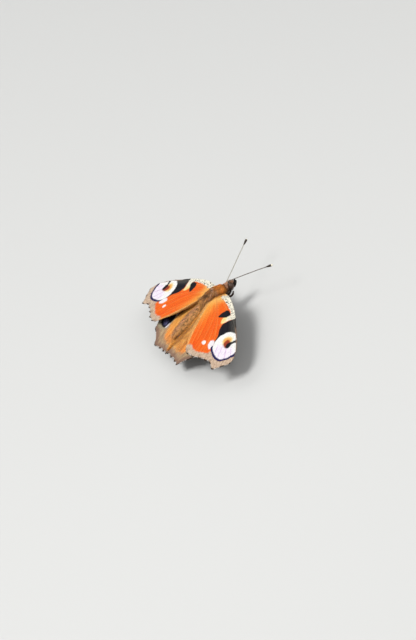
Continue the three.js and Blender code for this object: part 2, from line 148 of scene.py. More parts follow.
LEFT_WINGS = {
    "forewing": {"back": 0.35, "drop": 0.55, "pitch": 3.2},
    "hindwing": {"back": 0.35, "drop": 0.3, "pitch": 8.0},
}
SOLID_GAP = 0.3
FOLD_SPAN = (6.0, 14.5)
# The forewing's front corner dips towards the chest, over these spans ahead and sideways of its hinge
DIP_AHEAD = (-0.9, 2.6)
DIP_SIDEWAYS = (-0.5, 6.5)
WING_SHEET = 0.14
# The sheet sinks between its veins, most where they stand apart, and droops towards the wing's tip
PLEAT = 0.12
PLEATED_GAP = 3
DROOP_REACH = 25
VEIN_RISE = 0.07
VEIN_WIDTH = 0.14
# Shares of a wing's length, where the sheet comes to curve between its veins and where its edge is scalloped
CURVED_SPAN = (0.55, 0.9)
SCALLOPED_BEYOND = 0.86
# A vein's whole length by the vein that closes the cell, and a distance beyond any vein's reach
CELL_LENGTH = 16
NO_VEIN = 9
FRINGE_INSET = 0.982
# The wings' map has one unit to 50 mm, so the scales of their patterns count to 50 mm
PLAN_SCALE = 0.02
SCALE_GRAIN = (760, 340, 1)
SCALE_TURN = 0.35
WING_REACH = 32
VEIN_POINTS = 40
MARGIN_POINTS = 260
FRONT_MARGIN_POINTS = 140
BROWN_ENDS_BEFORE = 0.3
WING_ROWS = 110
WING_COLUMNS = 13

# Markings, as loops in each wing's own plane
FORE_MARKS = {
    "first_patch": ((8.9, 4.5), (9.6, 6.3), (9.75, 8.0), (9.1, 8.9), (8.1, 8.3), (7.1, 7.0), (7.6, 5.6)),
    "large_patch": (
        (11.0, 12.2), (11.1, 10.4), (11.7, 8.6), (12.3, 7.5), (14.0, 6.9), (16.4, 7.2), (18.6, 6.8),
        (20.4, 6.9), (18.4, 7.9), (17.4, 9.4), (16.8, 11.2), (17.6, 13.6), (18.6, 16.2), (14.0, 14.8),
    ),
    "ring": (
        (15.9, 10.7), (16.5, 12.8), (17.8, 14.6), (20.0, 16.0), (22.5, 16.8), (24.2, 16.0), (25.5, 13.9),
        (25.6, 11.5), (24.5, 9.7), (22.6, 8.1), (20.8, 7.1), (18.6, 7.1), (16.8, 8.3),
    ),
    "rim": (
        (16.9, 10.7), (17.5, 13.0), (18.8, 15.0), (21.0, 16.6), (23.4, 17.6), (25.1, 16.7), (26.2, 14.1),
        (26.3, 11.3), (24.9, 9.1), (22.9, 7.5), (21.2, 6.5), (20.0, 6.7), (19.6, 8.5),
    ),
    "glow": (
        (17.5, 10.4), (17.5, 12.0), (18.3, 13.3), (19.6, 13.6), (20.8, 12.6), (20.9, 11.2), (20.0, 10.0),
        (18.6, 9.6),
    ),
    "pupil": (
        (18.9, 11.2), (19.1, 12.3), (20.2, 13.0), (21.4, 12.9), (21.8, 12.0), (21.1, 11.1), (20.0, 10.6),
    ),
    "hook": (
        (20.0, 12.2), (19.7, 13.6), (19.3, 15.0), (20.3, 15.2), (20.6, 13.9), (21.6, 13.3), (22.1, 12.4),
        (21.2, 11.6),
    ),
    "dusk": (
        (20.2, 9.2), (21.4, 11.8), (22.4, 14.4), (24.6, 15.4), (26.0, 13.4), (25.8, 11.2), (24.0, 9.2),
        (21.8, 7.9),
    ),
    "near_spot": ((17.8, 5.3), (18.1, 6.5), (19.2, 6.9), (20.6, 6.6), (21.0, 6.0), (20.4, 5.4), (19.2, 4.9)),
    "far_spot": ((17.2, 2.7), (17.6, 3.5), (18.4, 3.6), (18.7, 3.0), (18.3, 2.5), (17.7, 2.2)),
    "pale_patch": (
        (9.4, 9.3), (9.6, 7.2), (10.6, 6.5), (11.9, 6.9), (11.4, 8.4), (11.0, 10.2), (11.2, 12.8),
        (9.4, 12.0),
    ),
}
HIND_MARKS = {
    "disc": (
        (10.1, -6.4), (10.4, -7.9), (11.1, -9.4), (12.6, -10.0), (14.0, -9.4), (15.2, -8.1), (16.8, -6.2),
        (17.3, -4.3), (15.8, -3.0), (13.2, -2.8), (11.2, -4.2),
    ),
    "ash": (
        (11.6, -10.3), (13.0, -10.7), (14.6, -10.3), (16.2, -9.2), (17.8, -7.2), (18.6, -4.6), (18.0, -2.4),
        (15.6, -1.8), (12.6, -1.7), (10.4, -3.0), (9.5, -5.0), (9.9, -7.4), (10.7, -9.4),
    ),
    "white": ((10.6, -8.3), (10.7, -9.2), (11.3, -10.0), (11.9, -10.0), (11.6, -9.4), (11.1, -8.6)),
    "blue": ((11.8, -8.5), (12.4, -9.3), (13.4, -8.9), (13.9, -7.9), (13.2, -7.3), (12.2, -7.7)),
    "smoke": ((6.4, -2.2), (8.6, -2.8), (11.0, -3.4), (11.2, -5.2), (10.2, -6.6), (9.3, -5.6), (7.6, -4.4)),
    "field": (
        (0.8, -2.0), (1.2, -8.0), (2.0, -14.0), (3.2, -15.6), (5.3, -15.0), (7.5, -14.2), (9.5, -12.9),
        (10.3, -11.6), (10.2, -9.9), (10.0, -7.6), (9.6, -5.2), (7.6, -2.6), (4.0, -0.8),
    ),
    "stripe": (
        (2.8, -7.2), (3.8, -9.0), (4.5, -11.2), (4.6, -13.4), (3.9, -14.6), (3.4, -13.0), (3.2, -11.2),
        (2.8, -9.4),
    ),
}

ORANGE = (0.93, 0.16, 0.012)
DEEP_ORANGE = (0.87, 0.095, 0.007)
GOLD = (0.93, 0.39, 0.06)
PALE_GOLD = (0.93, 0.5, 0.13)
CREAM = (0.93, 0.88, 0.72)
LEMON = (0.93, 0.74, 0.28)
SOOT = (0.008, 0.008, 0.012)
NAVY = (0.02, 0.016, 0.09)
PALE_VIOLET = (0.93, 0.85, 0.95)
VIOLET_LINE = (0.72, 0.46, 0.74)
WHITE = (0.95, 0.94, 0.9)
RUST_RED = (0.36, 0.05, 0.02)
TAN = (0.68, 0.5, 0.36)
TAN_SHADE = (0.3, 0.19, 0.125)
DARK_BROWN = (0.075, 0.04, 0.025)
ROSE = (0.96, 0.89, 0.91)
ASH = (0.42, 0.35, 0.23)
AMBER = (0.93, 0.4, 0.12)
PATCH_BLACK = (0.008, 0.008, 0.014)
# Painted sheen: grey laid over the large black patch towards the wing's front edge
PATCH_SHEEN_GREY = (0.13, 0.12, 0.1)
GLOW_YELLOW = (0.94, 0.78, 0.4)
GLOW_ORANGE = (0.9, 0.42, 0.1)
BURNT_ORANGE = (0.93, 0.25, 0.04)
RUST_STREAK = (0.55, 0.19, 0.045)
HIND_BROWN = (0.56, 0.39, 0.22)
HIND_SHADE = (0.27, 0.165, 0.1)
LILAC_BROWN = (0.25, 0.14, 0.105)
# Painted shade on the hindwing's front part, where the forewing lies over it
UNDER_FOREWING_SHADE = (0.13, 0.09, 0.06)
STRIPE_RUST = (0.6, 0.22, 0.05)
SMOKE = (0.05, 0.03, 0.02)
BLUE_FLECK = (0.24, 0.24, 0.5)
CRESCENT = (0.9, 0.87, 0.95)
UNDER_BLACK = (0.02, 0.015, 0.012)
UNDER_BROWN = (0.085, 0.06, 0.045)
UNDER_MARGIN = (0.13, 0.1, 0.08)
UNDER_LINE = (0.015, 0.012, 0.01)
FRINGE_PALE = ((0.6, 0.5, 0.42), (0.93, 0.88, 0.82))
FRINGE_DARK = ((0.03, 0.02, 0.016), (0.13, 0.08, 0.05))
WING_HAIR_TONES = (PALE_GOLD, GOLD)
REAR_HAIR_TONES = ((0.95, 0.62, 0.25), (0.93, 0.45, 0.12))
INNER_HAIR_TONES = ((0.93, 0.6, 0.26), (0.93, 0.46, 0.13))
STRIPE_HAIR = (0.62, 0.25, 0.06)

COLLAR = (0.74, 0.26, 0.045)
SADDLE = (0.46, 0.22, 0.085)
RUST_LOCK = (0.5, 0.19, 0.05)
PALE_LOCK = (0.72, 0.43, 0.27)
DARK_LOCK = (0.2, 0.1, 0.04)
FLANK = (0.5, 0.23, 0.08)
RUMP = (0.9, 0.5, 0.17)
BELLY = (0.08, 0.05, 0.035)
ABDOMEN_BACK = (0.72, 0.38, 0.19)
ABDOMEN_FLANK = (0.93, 0.5, 0.17)
CROWN = (0.62, 0.29, 0.15)
CROWN_PALE = (0.85, 0.58, 0.42)
FACE = (0.05, 0.035, 0.028)
PALP_BLACK = (0.035, 0.03, 0.026)
ANTENNA_DARK = (0.045, 0.032, 0.025)
ANTENNA_PALE_RING = (0.34, 0.3, 0.24)
ANTENNA_INNER = (0.62, 0.6, 0.5)
ANTENNA_TIP = (0.9, 0.84, 0.64)
LEG_DARK = (0.06, 0.035, 0.022)
LEG_BROWN = (0.2, 0.12, 0.065)
LEG_HAIR = (0.15, 0.09, 0.05)
FORELEG_HAIR = (0.07, 0.045, 0.035)
CLAW_BLACK = (0.02, 0.02, 0.02)
EYE_FACET = (0.12, 0.06, 0.035)
EYE_SEAM = (0.045, 0.024, 0.015)
TONGUE_DARK = (0.05, 0.025, 0.015)
TONGUE_BROWN = (0.14, 0.07, 0.035)
FLOOR_GREY = (0.6, 0.6, 0.585)
SKY_WHITE = (0.97, 0.98, 1)
SKY_STRENGTH = 0.375


# Small tools
def place(sideways, forward, up, side=1):
    """A place on the body, in millimetres, with side 1 for the left and -1 for the right."""
    sideways, forward, up = np.broadcast_arrays(sideways, forward, up)
    return np.stack((side * sideways, LENGTHWISE - forward, up + HINGE_HEIGHT), axis=-1).astype(float)


def ease(value, low, high):
    """From 0 at low to 1 at high, smoothly."""
    share = np.clip((value - low) / (high - low), 0, 1)
    return share * share * (3 - 2 * share)


def unit(vectors):
    return vectors / np.maximum(np.linalg.norm(vectors, axis=-1, keepdims=True), 1e-12)


def mix(low, high, share):
    return np.asarray(low) + (np.asarray(high) - np.asarray(low)) * np.asarray(share)[..., None]


def deselect():
    for thing in bpy.context.selected_objects:
        thing.select_set(False)


def newest(name):
    """The object just made, under its own name."""
    thing = bpy.context.object
    thing.name = name
    thing.data.name = name
    return thing


def put_points(thing, points):
    """Sets a mesh's points, given in millimetres."""
    thing.data.vertices.foreach_set("co", (np.asarray(points) * MM).astype(np.float32).ravel())
    thing.data.update()


def add_values(thing, name, values):
    layer = thing.data.attributes.new(name, "FLOAT", "POINT")
    layer.data.foreach_set("value", np.asarray(values, np.float32).ravel())


def add_colours(thing, name, colours):
    layer = thing.data.attributes.new(name, "FLOAT_COLOR", "POINT")
    rgba = np.ones((len(colours), 4), np.float32)
    rgba[:, :3] = colours
    layer.data.foreach_set("color", rgba.ravel())


def read_points(thing):
    """A mesh's points, in metres."""
    points = np.empty(len(thing.data.vertices) * 3, np.float32)
    thing.data.vertices.foreach_get("co", points)
    return points.reshape(-1, 3)


def face_outwards(merge_within=None):
    """Turns the active mesh's faces outwards, once any doubled points are merged."""
    bpy.ops.object.mode_set(mode="EDIT")
    bpy.ops.mesh.select_all(action="SELECT")
    if merge_within:
        bpy.ops.mesh.remove_doubles(threshold=merge_within)
    bpy.ops.mesh.normals_make_consistent(inside=False)
    bpy.ops.object.mode_set(mode="OBJECT")


def settle(piece, slot_name, *nodes):
    """Hangs a piece on the root and hides the solids it stands for. The slot name is not used."""
    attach(piece, "root")
    if nodes:
        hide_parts(*nodes)


def between(table, at, *columns):
    """A table's columns at places between its rows, whose first column rises."""
    return [np.interp(at, table[:, 0], table[:, column]) for column in columns]


def curve_between(p0, p1, p2, p3, share):
    """A place on the smooth curve from p1 to p2 that follows on from p0 and leads to p3."""
    return 0.5 * (2 * p1 + (p2 - p0) * share + (2 * p0 - 5 * p1 + 4 * p2 - p3) * share**2
                  + (3 * p1 - p0 - 3 * p2 + p3) * share**3)


def smooth_loop(points, steps=10):
    """A closed round-cornered loop through a few points."""
    knots = np.array(points)
    share = np.linspace(0, 1, steps, endpoint=False)[:, None]
    around = (np.roll(knots, shift, 0) for shift in (1, 0, -1, -2))
    return np.concatenate([curve_between(*corner, share) for corner in zip(*around)])


def smooth_path(points, steps):
    """An open smooth line through a few points."""
    knots = np.array(points, float)
    padded = np.concatenate((2 * knots[:1] - knots[1:2], knots, 2 * knots[-1:] - knots[-2:-1]))
    share = np.linspace(0, 1, steps, endpoint=False)[:, None]
    parts = [curve_between(*padded[k:k + 4], share) for k in range(len(knots) - 1)]
    return np.concatenate((*parts, knots[-1:]))


def line_distance(plan, line, closed=False):
    """The distance from each place to a line of points."""
    starts = line if closed else line[:-1]
    ends = np.roll(line, -1, 0) if closed else line[1:]
    best = np.full(len(plan), 1e9)
    for a, b in zip(starts, ends):
        run = b - a
        share = np.clip(((plan - a) @ run) / max(run @ run, 1e-12), 0, 1)
        best = np.minimum(best, np.linalg.norm(plan - a - share[:, None] * run, axis=1))
    return best


def loop_distance(plan, points):
    """The distance to a loop, below zero inside it."""
    loop = smooth_loop(points)
    inside = np.zeros(len(plan), bool)
    for a, b in zip(loop, np.roll(loop, -1, 0)):
        crosses = (a[1] > plan[:, 1]) != (b[1] > plan[:, 1])
        at = a[0] + (plan[:, 1] - a[1]) / (b[1] - a[1] + 1e-12) * (b[0] - a[0])
        inside ^= crosses & (plan[:, 0] < at)
    return np.where(inside, -1, 1) * line_distance(plan, loop, closed=True)


# Materials
class Finish:
    """A material and the shader nodes that make it up."""

    def __init__(self, name, roughness=0.8, sheen=0.0, specular=0.3):
        self.material = bpy.data.materials.new(name)
        self.material.use_nodes = True
        self.tree = self.material.node_tree
        self.shader = self.tree.nodes["Principled BSDF"]
        settings = {"Roughness": roughness, "Sheen Weight": sheen, "Specular IOR Level": specular}
        for socket, value in settings.items():
            self.shader.inputs[socket].default_value = value

    def feed(self, socket, value):
        """Links what another node gives out to a socket, or sets the socket to a number or a colour."""
        if isinstance(value, bpy.types.NodeSocket):
            self.tree.links.new(value, socket)
        else:
            socket.default_value = (*value, 1.0) if socket.type == "RGBA" else value

    def node(self, kind, inputs=None, **settings):
        made = self.tree.nodes.new(kind)
        for key, value in settings.items():
            setattr(made, key, value)
        for key, value in (inputs or {}).items():
            self.feed(made.inputs[key], value)
        return made

    def value(self, attribute):
        return self.node("ShaderNodeAttribute", attribute_name=attribute).outputs["Fac"]

    def colour(self, attribute):
        return self.node("ShaderNodeAttribute", attribute_name=attribute).outputs["Color"]

    def math(self, operation, first, second=0.0):
        return self.node("ShaderNodeMath", {0: first, 1: second}, operation=operation).outputs[0]

    def times(self, first, *others):
        for other in others:
            first = self.math("MULTIPLY", first, other)
        return first

    def plus(self, first, *others):
        for other in others:
            first = self.math("ADD", first, other)
        return first

    def less(self, first, second):
        return self.math("SUBTRACT", first, second)

    def places(self):
        return self.node("ShaderNodeTexCoord").outputs["Object"]

    def plan(self):
        return self.node("ShaderNodeUVMap", uv_map="plan").outputs["UV"]

    def stretched(self, vector, scale, turn=0.0):
        inputs = {"Vector": vector, "Scale": scale, "Rotation": (0, 0, turn)}
        return self.node("ShaderNodeMapping", inputs).outputs["Vector"]

    def noise(self, vector, scale, detail=2.0):
        inputs = {"Vector": vector, "Scale": scale, "Detail": detail}
        return self.node("ShaderNodeTexNoise", inputs).outputs["Fac"]

    def strands(self, scale, detail):
        """A noise drawn out along the body. Its scales count to the metre."""
        return self.noise(self.stretched(self.places(), scale), 1.0, detail)

    def cells(self, vector, scale):
        return self.node("ShaderNodeTexVoronoi", {"Vector": vector, "Scale": scale})

    def step(self, value, low, high, first=0.0, last=1.0):
        inputs = {"Value": value, "From Min": low, "From Max": high, "To Min": first, "To Max": last}
        return self.node("ShaderNodeMapRange", inputs, interpolation_type="SMOOTHSTEP").outputs[0]

    def blend(self, share, low, high, how="MIX"):
        inputs = {0: share, 6: low, 7: high}
        return self.node("ShaderNodeMix", inputs, data_type="RGBA", blend_type=how).outputs[2]

    def layers(self, ground, *layers):
        """Lays colours over a ground in turn, each by the product of its shares."""
        for colour, *shares in layers:
            ground = self.blend(self.times(*shares), ground, colour)
        return ground

    def paint(self, colour, shade=None):
        """Sets the colour, multiplied by a shade of grey where one is given."""
        if shade is not None:
            grey = self.node("ShaderNodeCombineColor", {0: shade, 1: shade, 2: shade}).outputs[0]
            colour = self.blend(1.0, colour, grey, "MULTIPLY")
        self.feed(self.shader.inputs["Base Color"], colour)

    def bump(self, height, strength, distance):
        inputs = {"Height": height, "Strength": strength, "Distance": distance * MM}
        self.feed(self.shader.inputs["Normal"], self.node("ShaderNodeBump", inputs).outputs["Normal"])


# Wing surface
def half_width(forward, up):
    """Half the thorax's width at a place along it and a height."""
    width, height, centre = between(np.array(THORAX_WIDTHS)[::-1], forward, 1, 2, 3)
    return width * np.sqrt(np.maximum(0, 1 - ((up - centre) / height) ** 2))


def turned(first, second, degrees):
    """Two coordinates after a turn in their plane."""
    c, s = math.cos(math.radians(degrees)), math.sin(math.radians(degrees))
    return first * c - second * s, first * s + second * c


def as_held(wing, side):
    """The wing with its hinge and pitch as they are on that side."""
    if side < 0:
        return wing
    lower = LEFT_WINGS[wing["name"]]
    sideways, forward, up = wing["hinge"]
    return {**wing, "pitch": lower["pitch"], "hinge": (sideways, forward - lower["back"], up - lower["drop"])}


def front_dip(wing, sideways, ahead):
    """How far the front corner of a wing dips at a place beyond and ahead of its hinge."""
    return wing["dip"] * ease(ahead, *DIP_AHEAD) * (1 - ease(sideways, *DIP_SIDEWAYS))


def vein_places(wing, along):
    """Every vein's place in the wing's plane at the given shares of its length."""
    lines = []
    for root, cell, end in wing["veins"]:
        forward = wing["root"][0] + (wing["root"][1] - wing["root"][0]) * root
        height = wing["hinge"][2] - front_dip(wing, 0, forward)
        width = half_width(wing["hinge"][1] + forward, height) + SOLID_GAP
        start = np.stack(turned(width - wing["hinge"][0], forward, wing["sweep"]))
        bend = 2 * np.array(cell) - 0.5 * (start + np.array(end))
        t = np.asarray(along)[..., None]
        lines.append((1 - t) ** 2 * start + 2 * t * (1 - t) * bend + t * t * np.array(end))
    return np.array(lines)


def wing_surface(wing, side, across, along, lift=0.0):
    """Where a wing's middle sheet runs. across counts the veins, along runs from root to margin."""
    wing = as_held(wing, side)
    veins = vein_places(wing, along)
    count = len(veins)
    low = np.clip(np.floor(across).astype(int), 0, count - 2)
    share = across - low
    pick = np.arange(len(across))
    p1, p2 = veins[low, pick], veins[low + 1, pick]
    p0, p3 = veins[np.maximum(low - 1, 0), pick], veins[np.minimum(low + 2, count - 1), pick]
    straight = p1 + (p2 - p1) * share[:, None]
    curved = curve_between(p0, p1, p2, p3, share[:, None])
    plan = straight + (curved - straight) * ease(along, *CURVED_SPAN)[:, None]
    gap = np.linalg.norm(p2 - p1, axis=1)
    towards_edge = np.clip((along - SCALLOPED_BEYOND) / (1 - SCALLOPED_BEYOND), 0, 1) ** 2
    scalloped = (low >= wing["scalloped_from"]) * np.sin(np.pi * share) * towards_edge
    plan = plan - unit(plan) * (scalloped * wing["scallop"])[:, None]
    free, starts = wing["free_vein"]
    to_low = share * gap + NO_VEIN * ((low == free) & (along < starts))
    to_high = (1 - share) * gap + NO_VEIN * ((low + 1 == free) & (along < starts))
    vein = np.minimum(to_low, to_high)
    first, last, cell = wing["cell"]
    in_cell = (low >= first) & (low < last)
    vein = np.minimum(vein, np.where(in_cell, np.abs(along - cell) * CELL_LENGTH, NO_VEIN))

    dihedral, pitch = math.radians(wing["dihedral"]), math.radians(wing["pitch"])
    outward = np.array((math.cos(dihedral) * side, 0, math.sin(dihedral)))
    forward = np.array((0, -math.cos(pitch), math.sin(pitch)))
    forward = unit(forward - outward * (forward @ outward))
    normal = np.cross(outward, forward) * -side
    sideways, ahead = turned(plan[:, 0], plan[:, 1], -wing["sweep"])
    points = place(*wing["hinge"], side) + sideways[:, None] * outward + ahead[:, None] * forward
    inner = 1 - ease(np.abs(points[:, 0]), *FOLD_SPAN)
    level = -PLEAT * np.minimum(1, gap / PLEATED_GAP) * np.sin(np.pi * share)
    level = level - wing["droop"] * (plan[:, 0] / DROOP_REACH) ** 2 - wing["fold"] * inner * along**2
    level = level - front_dip(wing, sideways, ahead)
    level = level + VEIN_RISE * np.exp(-((vein / VEIN_WIDTH) ** 2)) * (1 - 0.5 * along) + lift
    points = points + level[:, None] * normal
    return {"plan": plan, "points": points, "vein": vein, "normal": normal, "share": share}


def wing_marks(wing, plan, vein):
    """How far each place of a wing is from each of its markings, its edges and its veins."""
    loops = FORE_MARKS if wing is FOREWING else HIND_MARKS
    marks = {name: loop_distance(plan, loop) for name, loop in loops.items()}
    spaces = len(wing["veins"]) - 1
    rim = wing_surface(wing, 1, np.linspace(0, spaces, MARGIN_POINTS), np.ones(MARGIN_POINTS))["plan"]
    brown = (wing["brown_from"], spaces - BROWN_ENDS_BEFORE)
    first, last = (int(MARGIN_POINTS * end / spaces) for end in brown)
    marks["margin"] = line_distance(plan, rim[first:last])
    veins = vein_places(wing, np.linspace(0, 1, VEIN_POINTS))
    marks["leading"] = line_distance(plan, np.concatenate((veins[0], rim[:FRONT_MARGIN_POINTS])))
    marks["trailing"] = line_distance(plan, veins[-1])
    marks["vein"] = vein
    return marks


def make_wing(wing, side, word, finishes):
    """A wing as a thin sheet: a grid laid on the wing's surface, then given its thickness."""
    spaces = len(wing["veins"]) - 1
    deselect()
    bpy.ops.mesh.primitive_grid_add(x_subdivisions=spaces * WING_COLUMNS, y_subdivisions=WING_ROWS, size=1)
    sheet = newest(f"{wing['name']}_{word}_scales")
    flat = read_points(sheet)
    across = (flat[:, 0] + 0.5) * spaces
    along = (flat[:, 1] + 0.5) * FRINGE_INSET
    surface = wing_surface(wing, side, across, along)
    plan = surface["plan"]
    put_points(sheet, surface["points"])
    places = {"out": plan[:, 0], "ahead": plan[:, 1], "across": across, "along": along}
    for name, values in {**places, **wing_marks(wing, plan, surface["vein"])}.items():
        add_values(sheet, name, values)
    layer = sheet.data.uv_layers[0]
    layer.name = "plan"
    corner = np.empty(len(sheet.data.loops), np.int32)
    sheet.data.loops.foreach_get("vertex_index", corner)
    layer.data.foreach_set("uv", (plan[corner] * PLAN_SCALE).astype(np.float32).ravel())
    for finish in finishes:
        sheet.data.materials.append(finish.material)
    if side > 0:
        bpy.ops.object.mode_set(mode="EDIT")
        bpy.ops.mesh.select_all(action="SELECT")
        bpy.ops.mesh.flip_normals()
        bpy.ops.object.mode_set(mode="OBJECT")
    wall = sheet.modifiers.new("thickness", "SOLIDIFY")
    wall.thickness = WING_SHEET * MM
    wall.offset = 0
    wall.material_offset = 1
    wall.material_offset_rim = 0
    bpy.ops.object.modifier_apply(modifier="thickness")
    bpy.ops.object.shade_smooth()
    settle(sheet, "wing_scales", f"{wing['name']}_{word}")


class ScaleFinish(Finish):
    """A wing's scales. Each fine scale has its own tone and breaks up the edges between colours."""

    def __init__(self, name):
        super().__init__(name, specular=0.12)
        self.grain = self.cells(self.stretched(self.plan(), SCALE_GRAIN, SCALE_TURN), 1.0)
        parts = self.node("ShaderNodeSeparateColor", {0: self.grain.outputs["Color"]})
        self.tone = parts.outputs[1]
        self.jitter = self.times(self.less(parts.outputs[0], 0.5), 0.2)
        self.wavy = self.less(self.noise(self.plan(), 60, 3), 0.5)

    def edge(self, name, soft=0.12, grow=0.0, wave=0.0, off=0.0):
        """One inside a marking and zero outside it."""
        distance = self.less(self.plus(self.value(name), self.jitter), off)
        if wave:
            distance = self.plus(distance, self.times(self.wavy, wave))
        return self.step(distance, grow - soft, grow + soft, 1.0, 0.0)

    def streaks(self, across, along, shift=0.0):
        """A noise drawn out along the veins."""
        across, along = self.times(self.value("across"), across), self.times(self.value("along"), along)
        return self.noise(self.node("ShaderNodeCombineXYZ", {0: across, 1: along, 2: shift}).outputs[0], 1.0, 3)

    def tan_margin(self):
        """The tan border of a wing, dusted darker between its veins."""
        dust = self.plus(self.streaks(4.5, 16.0, 6.0), self.times(self.wavy, 0.8))
        return self.layers(TAN, (TAN_SHADE, self.step(dust, 0.38, 0.8, 0.0, 0.85)))

    def done(self, ground, low=0.64, high=0.92):
        self.paint(ground, self.step(self.tone, 0.0, 1.0, low, high))
        self.bump(self.grain.outputs["Distance"], 0.3, 0.025)
        return self


def fore_upper():
    """Orange with a gold base, a barred cream front edge, black patches, an eyespot and a tan margin."""
    finish = ScaleFinish("forewing_upper_scales")
    edge, value, step, streaks = finish.edge, finish.value, finish.step, finish.streaks
    times, plus, layers = finish.times, finish.plus, finish.layers
    ahead, out, vein, leading = (value(name) for name in ("ahead", "out", "vein", "leading"))
    warmth = plus(times(ahead, 0.75), times(out, 0.55), times(streaks(5.0, 3.0, 4.0), 3.6))
    ground = layers(
        ORANGE,
        (DEEP_ORANGE, step(streaks(7.0, 3.0), 0.35, 0.65)),
        (GOLD, step(warmth, 8.4, 2.2)),
        (GOLD, step(streaks(16.0, 2.0, 9.0), 0.56, 0.7), 0.5),
        (PALE_GOLD, step(out, 4.4, 1.0)),
        (AMBER, step(vein, 0.04, 0.16, 0.3, 0.0)),
        (PALE_GOLD, edge("trailing", 0.4, 0.55, 0.5), 0.65),
        (finish.tan_margin(), edge("margin", 0.32, 2.05, 1.1, step(ahead, 5.6, 7.4, 0.0, 1.3))),
        (DARK_BROWN, edge("margin", 0.12, 0.2, 0.9), step(vein, 0.7, 0.25, 0.25, 1.0)),
        (layers(LEMON, (CREAM, step(ahead, 7.0, 9.0))), edge("pale_patch", 0.25, 0.15)),
    )

    band = plus(finish.less(leading, step(out, 8.0, 2.5, 0.0, 0.55)), finish.jitter, times(finish.wavy, 1.3))
    front_edge = times(step(band, 1.35, 1.1), step(out, 14.0, 12.0), step(out, -1.0, 0.8))
    ruffled = times(finish.less(finish.noise(finish.plan(), 170, 2), 0.5), 1.6)
    dots = finish.cells(finish.stretched(finish.plan(), (105, 58, 1), -0.6), 1.0)
    dashes = plus(dots.outputs["Distance"], ruffled, times(finish.wavy, 1.2))
    # Painted sheen on the large black patch: lighter grey streaks towards the wing's front edge
    patch_sheen = times(step(leading, 2.6, 0.3), step(streaks(9.0, 3.0, 2.0), 0.3, 0.7))
    distal = step(value("dusk"), -0.9, 0.9, 1.0, 0.0)
    eyespot = layers(
        WHITE,
        (PALE_VIOLET, distal),
        (VIOLET_LINE, step(vein, 0.05, 0.22, 0.75, 0.0), distal),
        (GLOW_YELLOW, edge("glow", 0.45, -0.15)),
        (GLOW_ORANGE, edge("glow", 0.4, -0.6)),
        (RUST_RED, edge("pupil", 0.25)),
        (SOOT, edge("hook", 0.2, -0.05)),
    )
    return finish.done(layers(
        ground,
        (CREAM, front_edge),
        (SOOT, step(dashes, 0.3, 0.2), front_edge, step(out, 11.5, 9.8)),
        (SOOT, edge("first_patch")),
        (layers(PATCH_BLACK, (PATCH_SHEEN_GREY, patch_sheen)), edge("large_patch")),
        (ROSE, edge("near_spot", 0.2)),
        (WHITE, edge("far_spot", 0.15)),
        (NAVY, edge("rim")),
        (eyespot, edge("ring")),
        (TAN_SHADE, edge("leading", 0.1, 0.25), step(out, 13.0, 17.0)),
    ))


def hind_upper():
    """A gold field streaked with rust, brown beyond it, and a dark eyespot with blue flecks."""
    finish = ScaleFinish("hindwing_upper_scales")
    edge, value, step, streaks, layers = finish.edge, finish.value, finish.step, finish.streaks, finish.layers
    gold = layers(
        GOLD,
        (BURNT_ORANGE, step(value("along"), 0.35, 0.85)),
        (PALE_GOLD, step(streaks(5.0, 2.0, 3.0), 0.35, 0.65)),
        (RUST_STREAK, step(streaks(22.0, 2.5), 0.56, 0.74, 0.0, 0.75)),
        (PALE_GOLD, step(value("across"), 7.2, 8.2), 0.7),
    )
    lilac = finish.plus(step(value("margin"), 2.4, 0.4, 0.0, 0.6), streaks(14.0, 5.0, 8.0))
    brown = layers(
        HIND_BROWN,
        (HIND_SHADE, step(streaks(12.0, 9.0, 5.0), 0.35, 0.7)),
        (LILAC_BROWN, step(lilac, 0.5, 1.1, 0.0, 0.8)),
        # Painted shade: darker towards the hindwing's front, under the forewing
        (UNDER_FOREWING_SHADE, step(value("ahead"), -2.4, 0.4), step(value("out"), 5.0, 8.0)),
    )
    flecks = step(finish.noise(finish.plan(), 230, 2), 0.45, 0.6)
    return finish.done(layers(
        brown,
        (gold, edge("field", 0.9, 0.0, 2.4)),
        (STRIPE_RUST, edge("stripe", 0.5, -0.2, 0.8), 0.6),
        (SMOKE, edge("smoke", 0.7, 0.0, 1.2), 0.9),
        (ASH, edge("ash", 0.4, 0.0, 0.6)),
        (SOOT, edge("disc", 0.18)),
        (BLUE_FLECK, edge("blue", 0.5), flecks),
        (CRESCENT, edge("white", 0.12)),
        (DARK_BROWN, edge("margin", 0.12, 0.22, 0.9), step(value("vein"), 0.8, 0.25, 0.35, 1.0)),
    ))


def wing_underside():
    """Near black, with fine crossing lines and a browner margin, as on a dead leaf."""
    finish = ScaleFinish("wing_underside_scales")
    value, step = finish.value, finish.step
    ripples = finish.noise(finish.stretched(finish.plan(), (420, 60, 1), 0.5), 1.0, 4)
    cross = finish.noise(finish.stretched(finish.plan(), (90, 700, 1), 0.35), 1.0, 3)
    ground = finish.layers(
        UNDER_BLACK,
        (UNDER_BROWN, step(ripples, 0.42, 0.6)),
        (UNDER_MARGIN, step(value("margin"), 4.5, 1.0, 0.0, 0.55)),
        (UNDER_LINE, step(cross, 0.55, 0.68, 0.0, 0.6)),
        (SOOT, step(value("vein"), 0.06, 0.18, 0.7, 0.0)),
    )
    return finish.done(ground, 0.56, 1.04)


# Hair and fringe, as thin closed blades
BLADE_FLATNESS = 0.45
BLADE_TAPER = 0.8
# Painted shade and light along each blade: darker at the root, where the coat shades itself, lighter at the tip
BLADE_ROOT_SHADE_TIP_LIGHT = (0.75, 0.75, 0.75, 1.0, 1.0, 1.0, 1.2)
BRIGHTEST = 0.97
BAKE_PATCH = 0.0014
# Hairs in each lock on a wing and on a shoulder
WING_LOCK = 25
SHOULDER_LOCK = 22


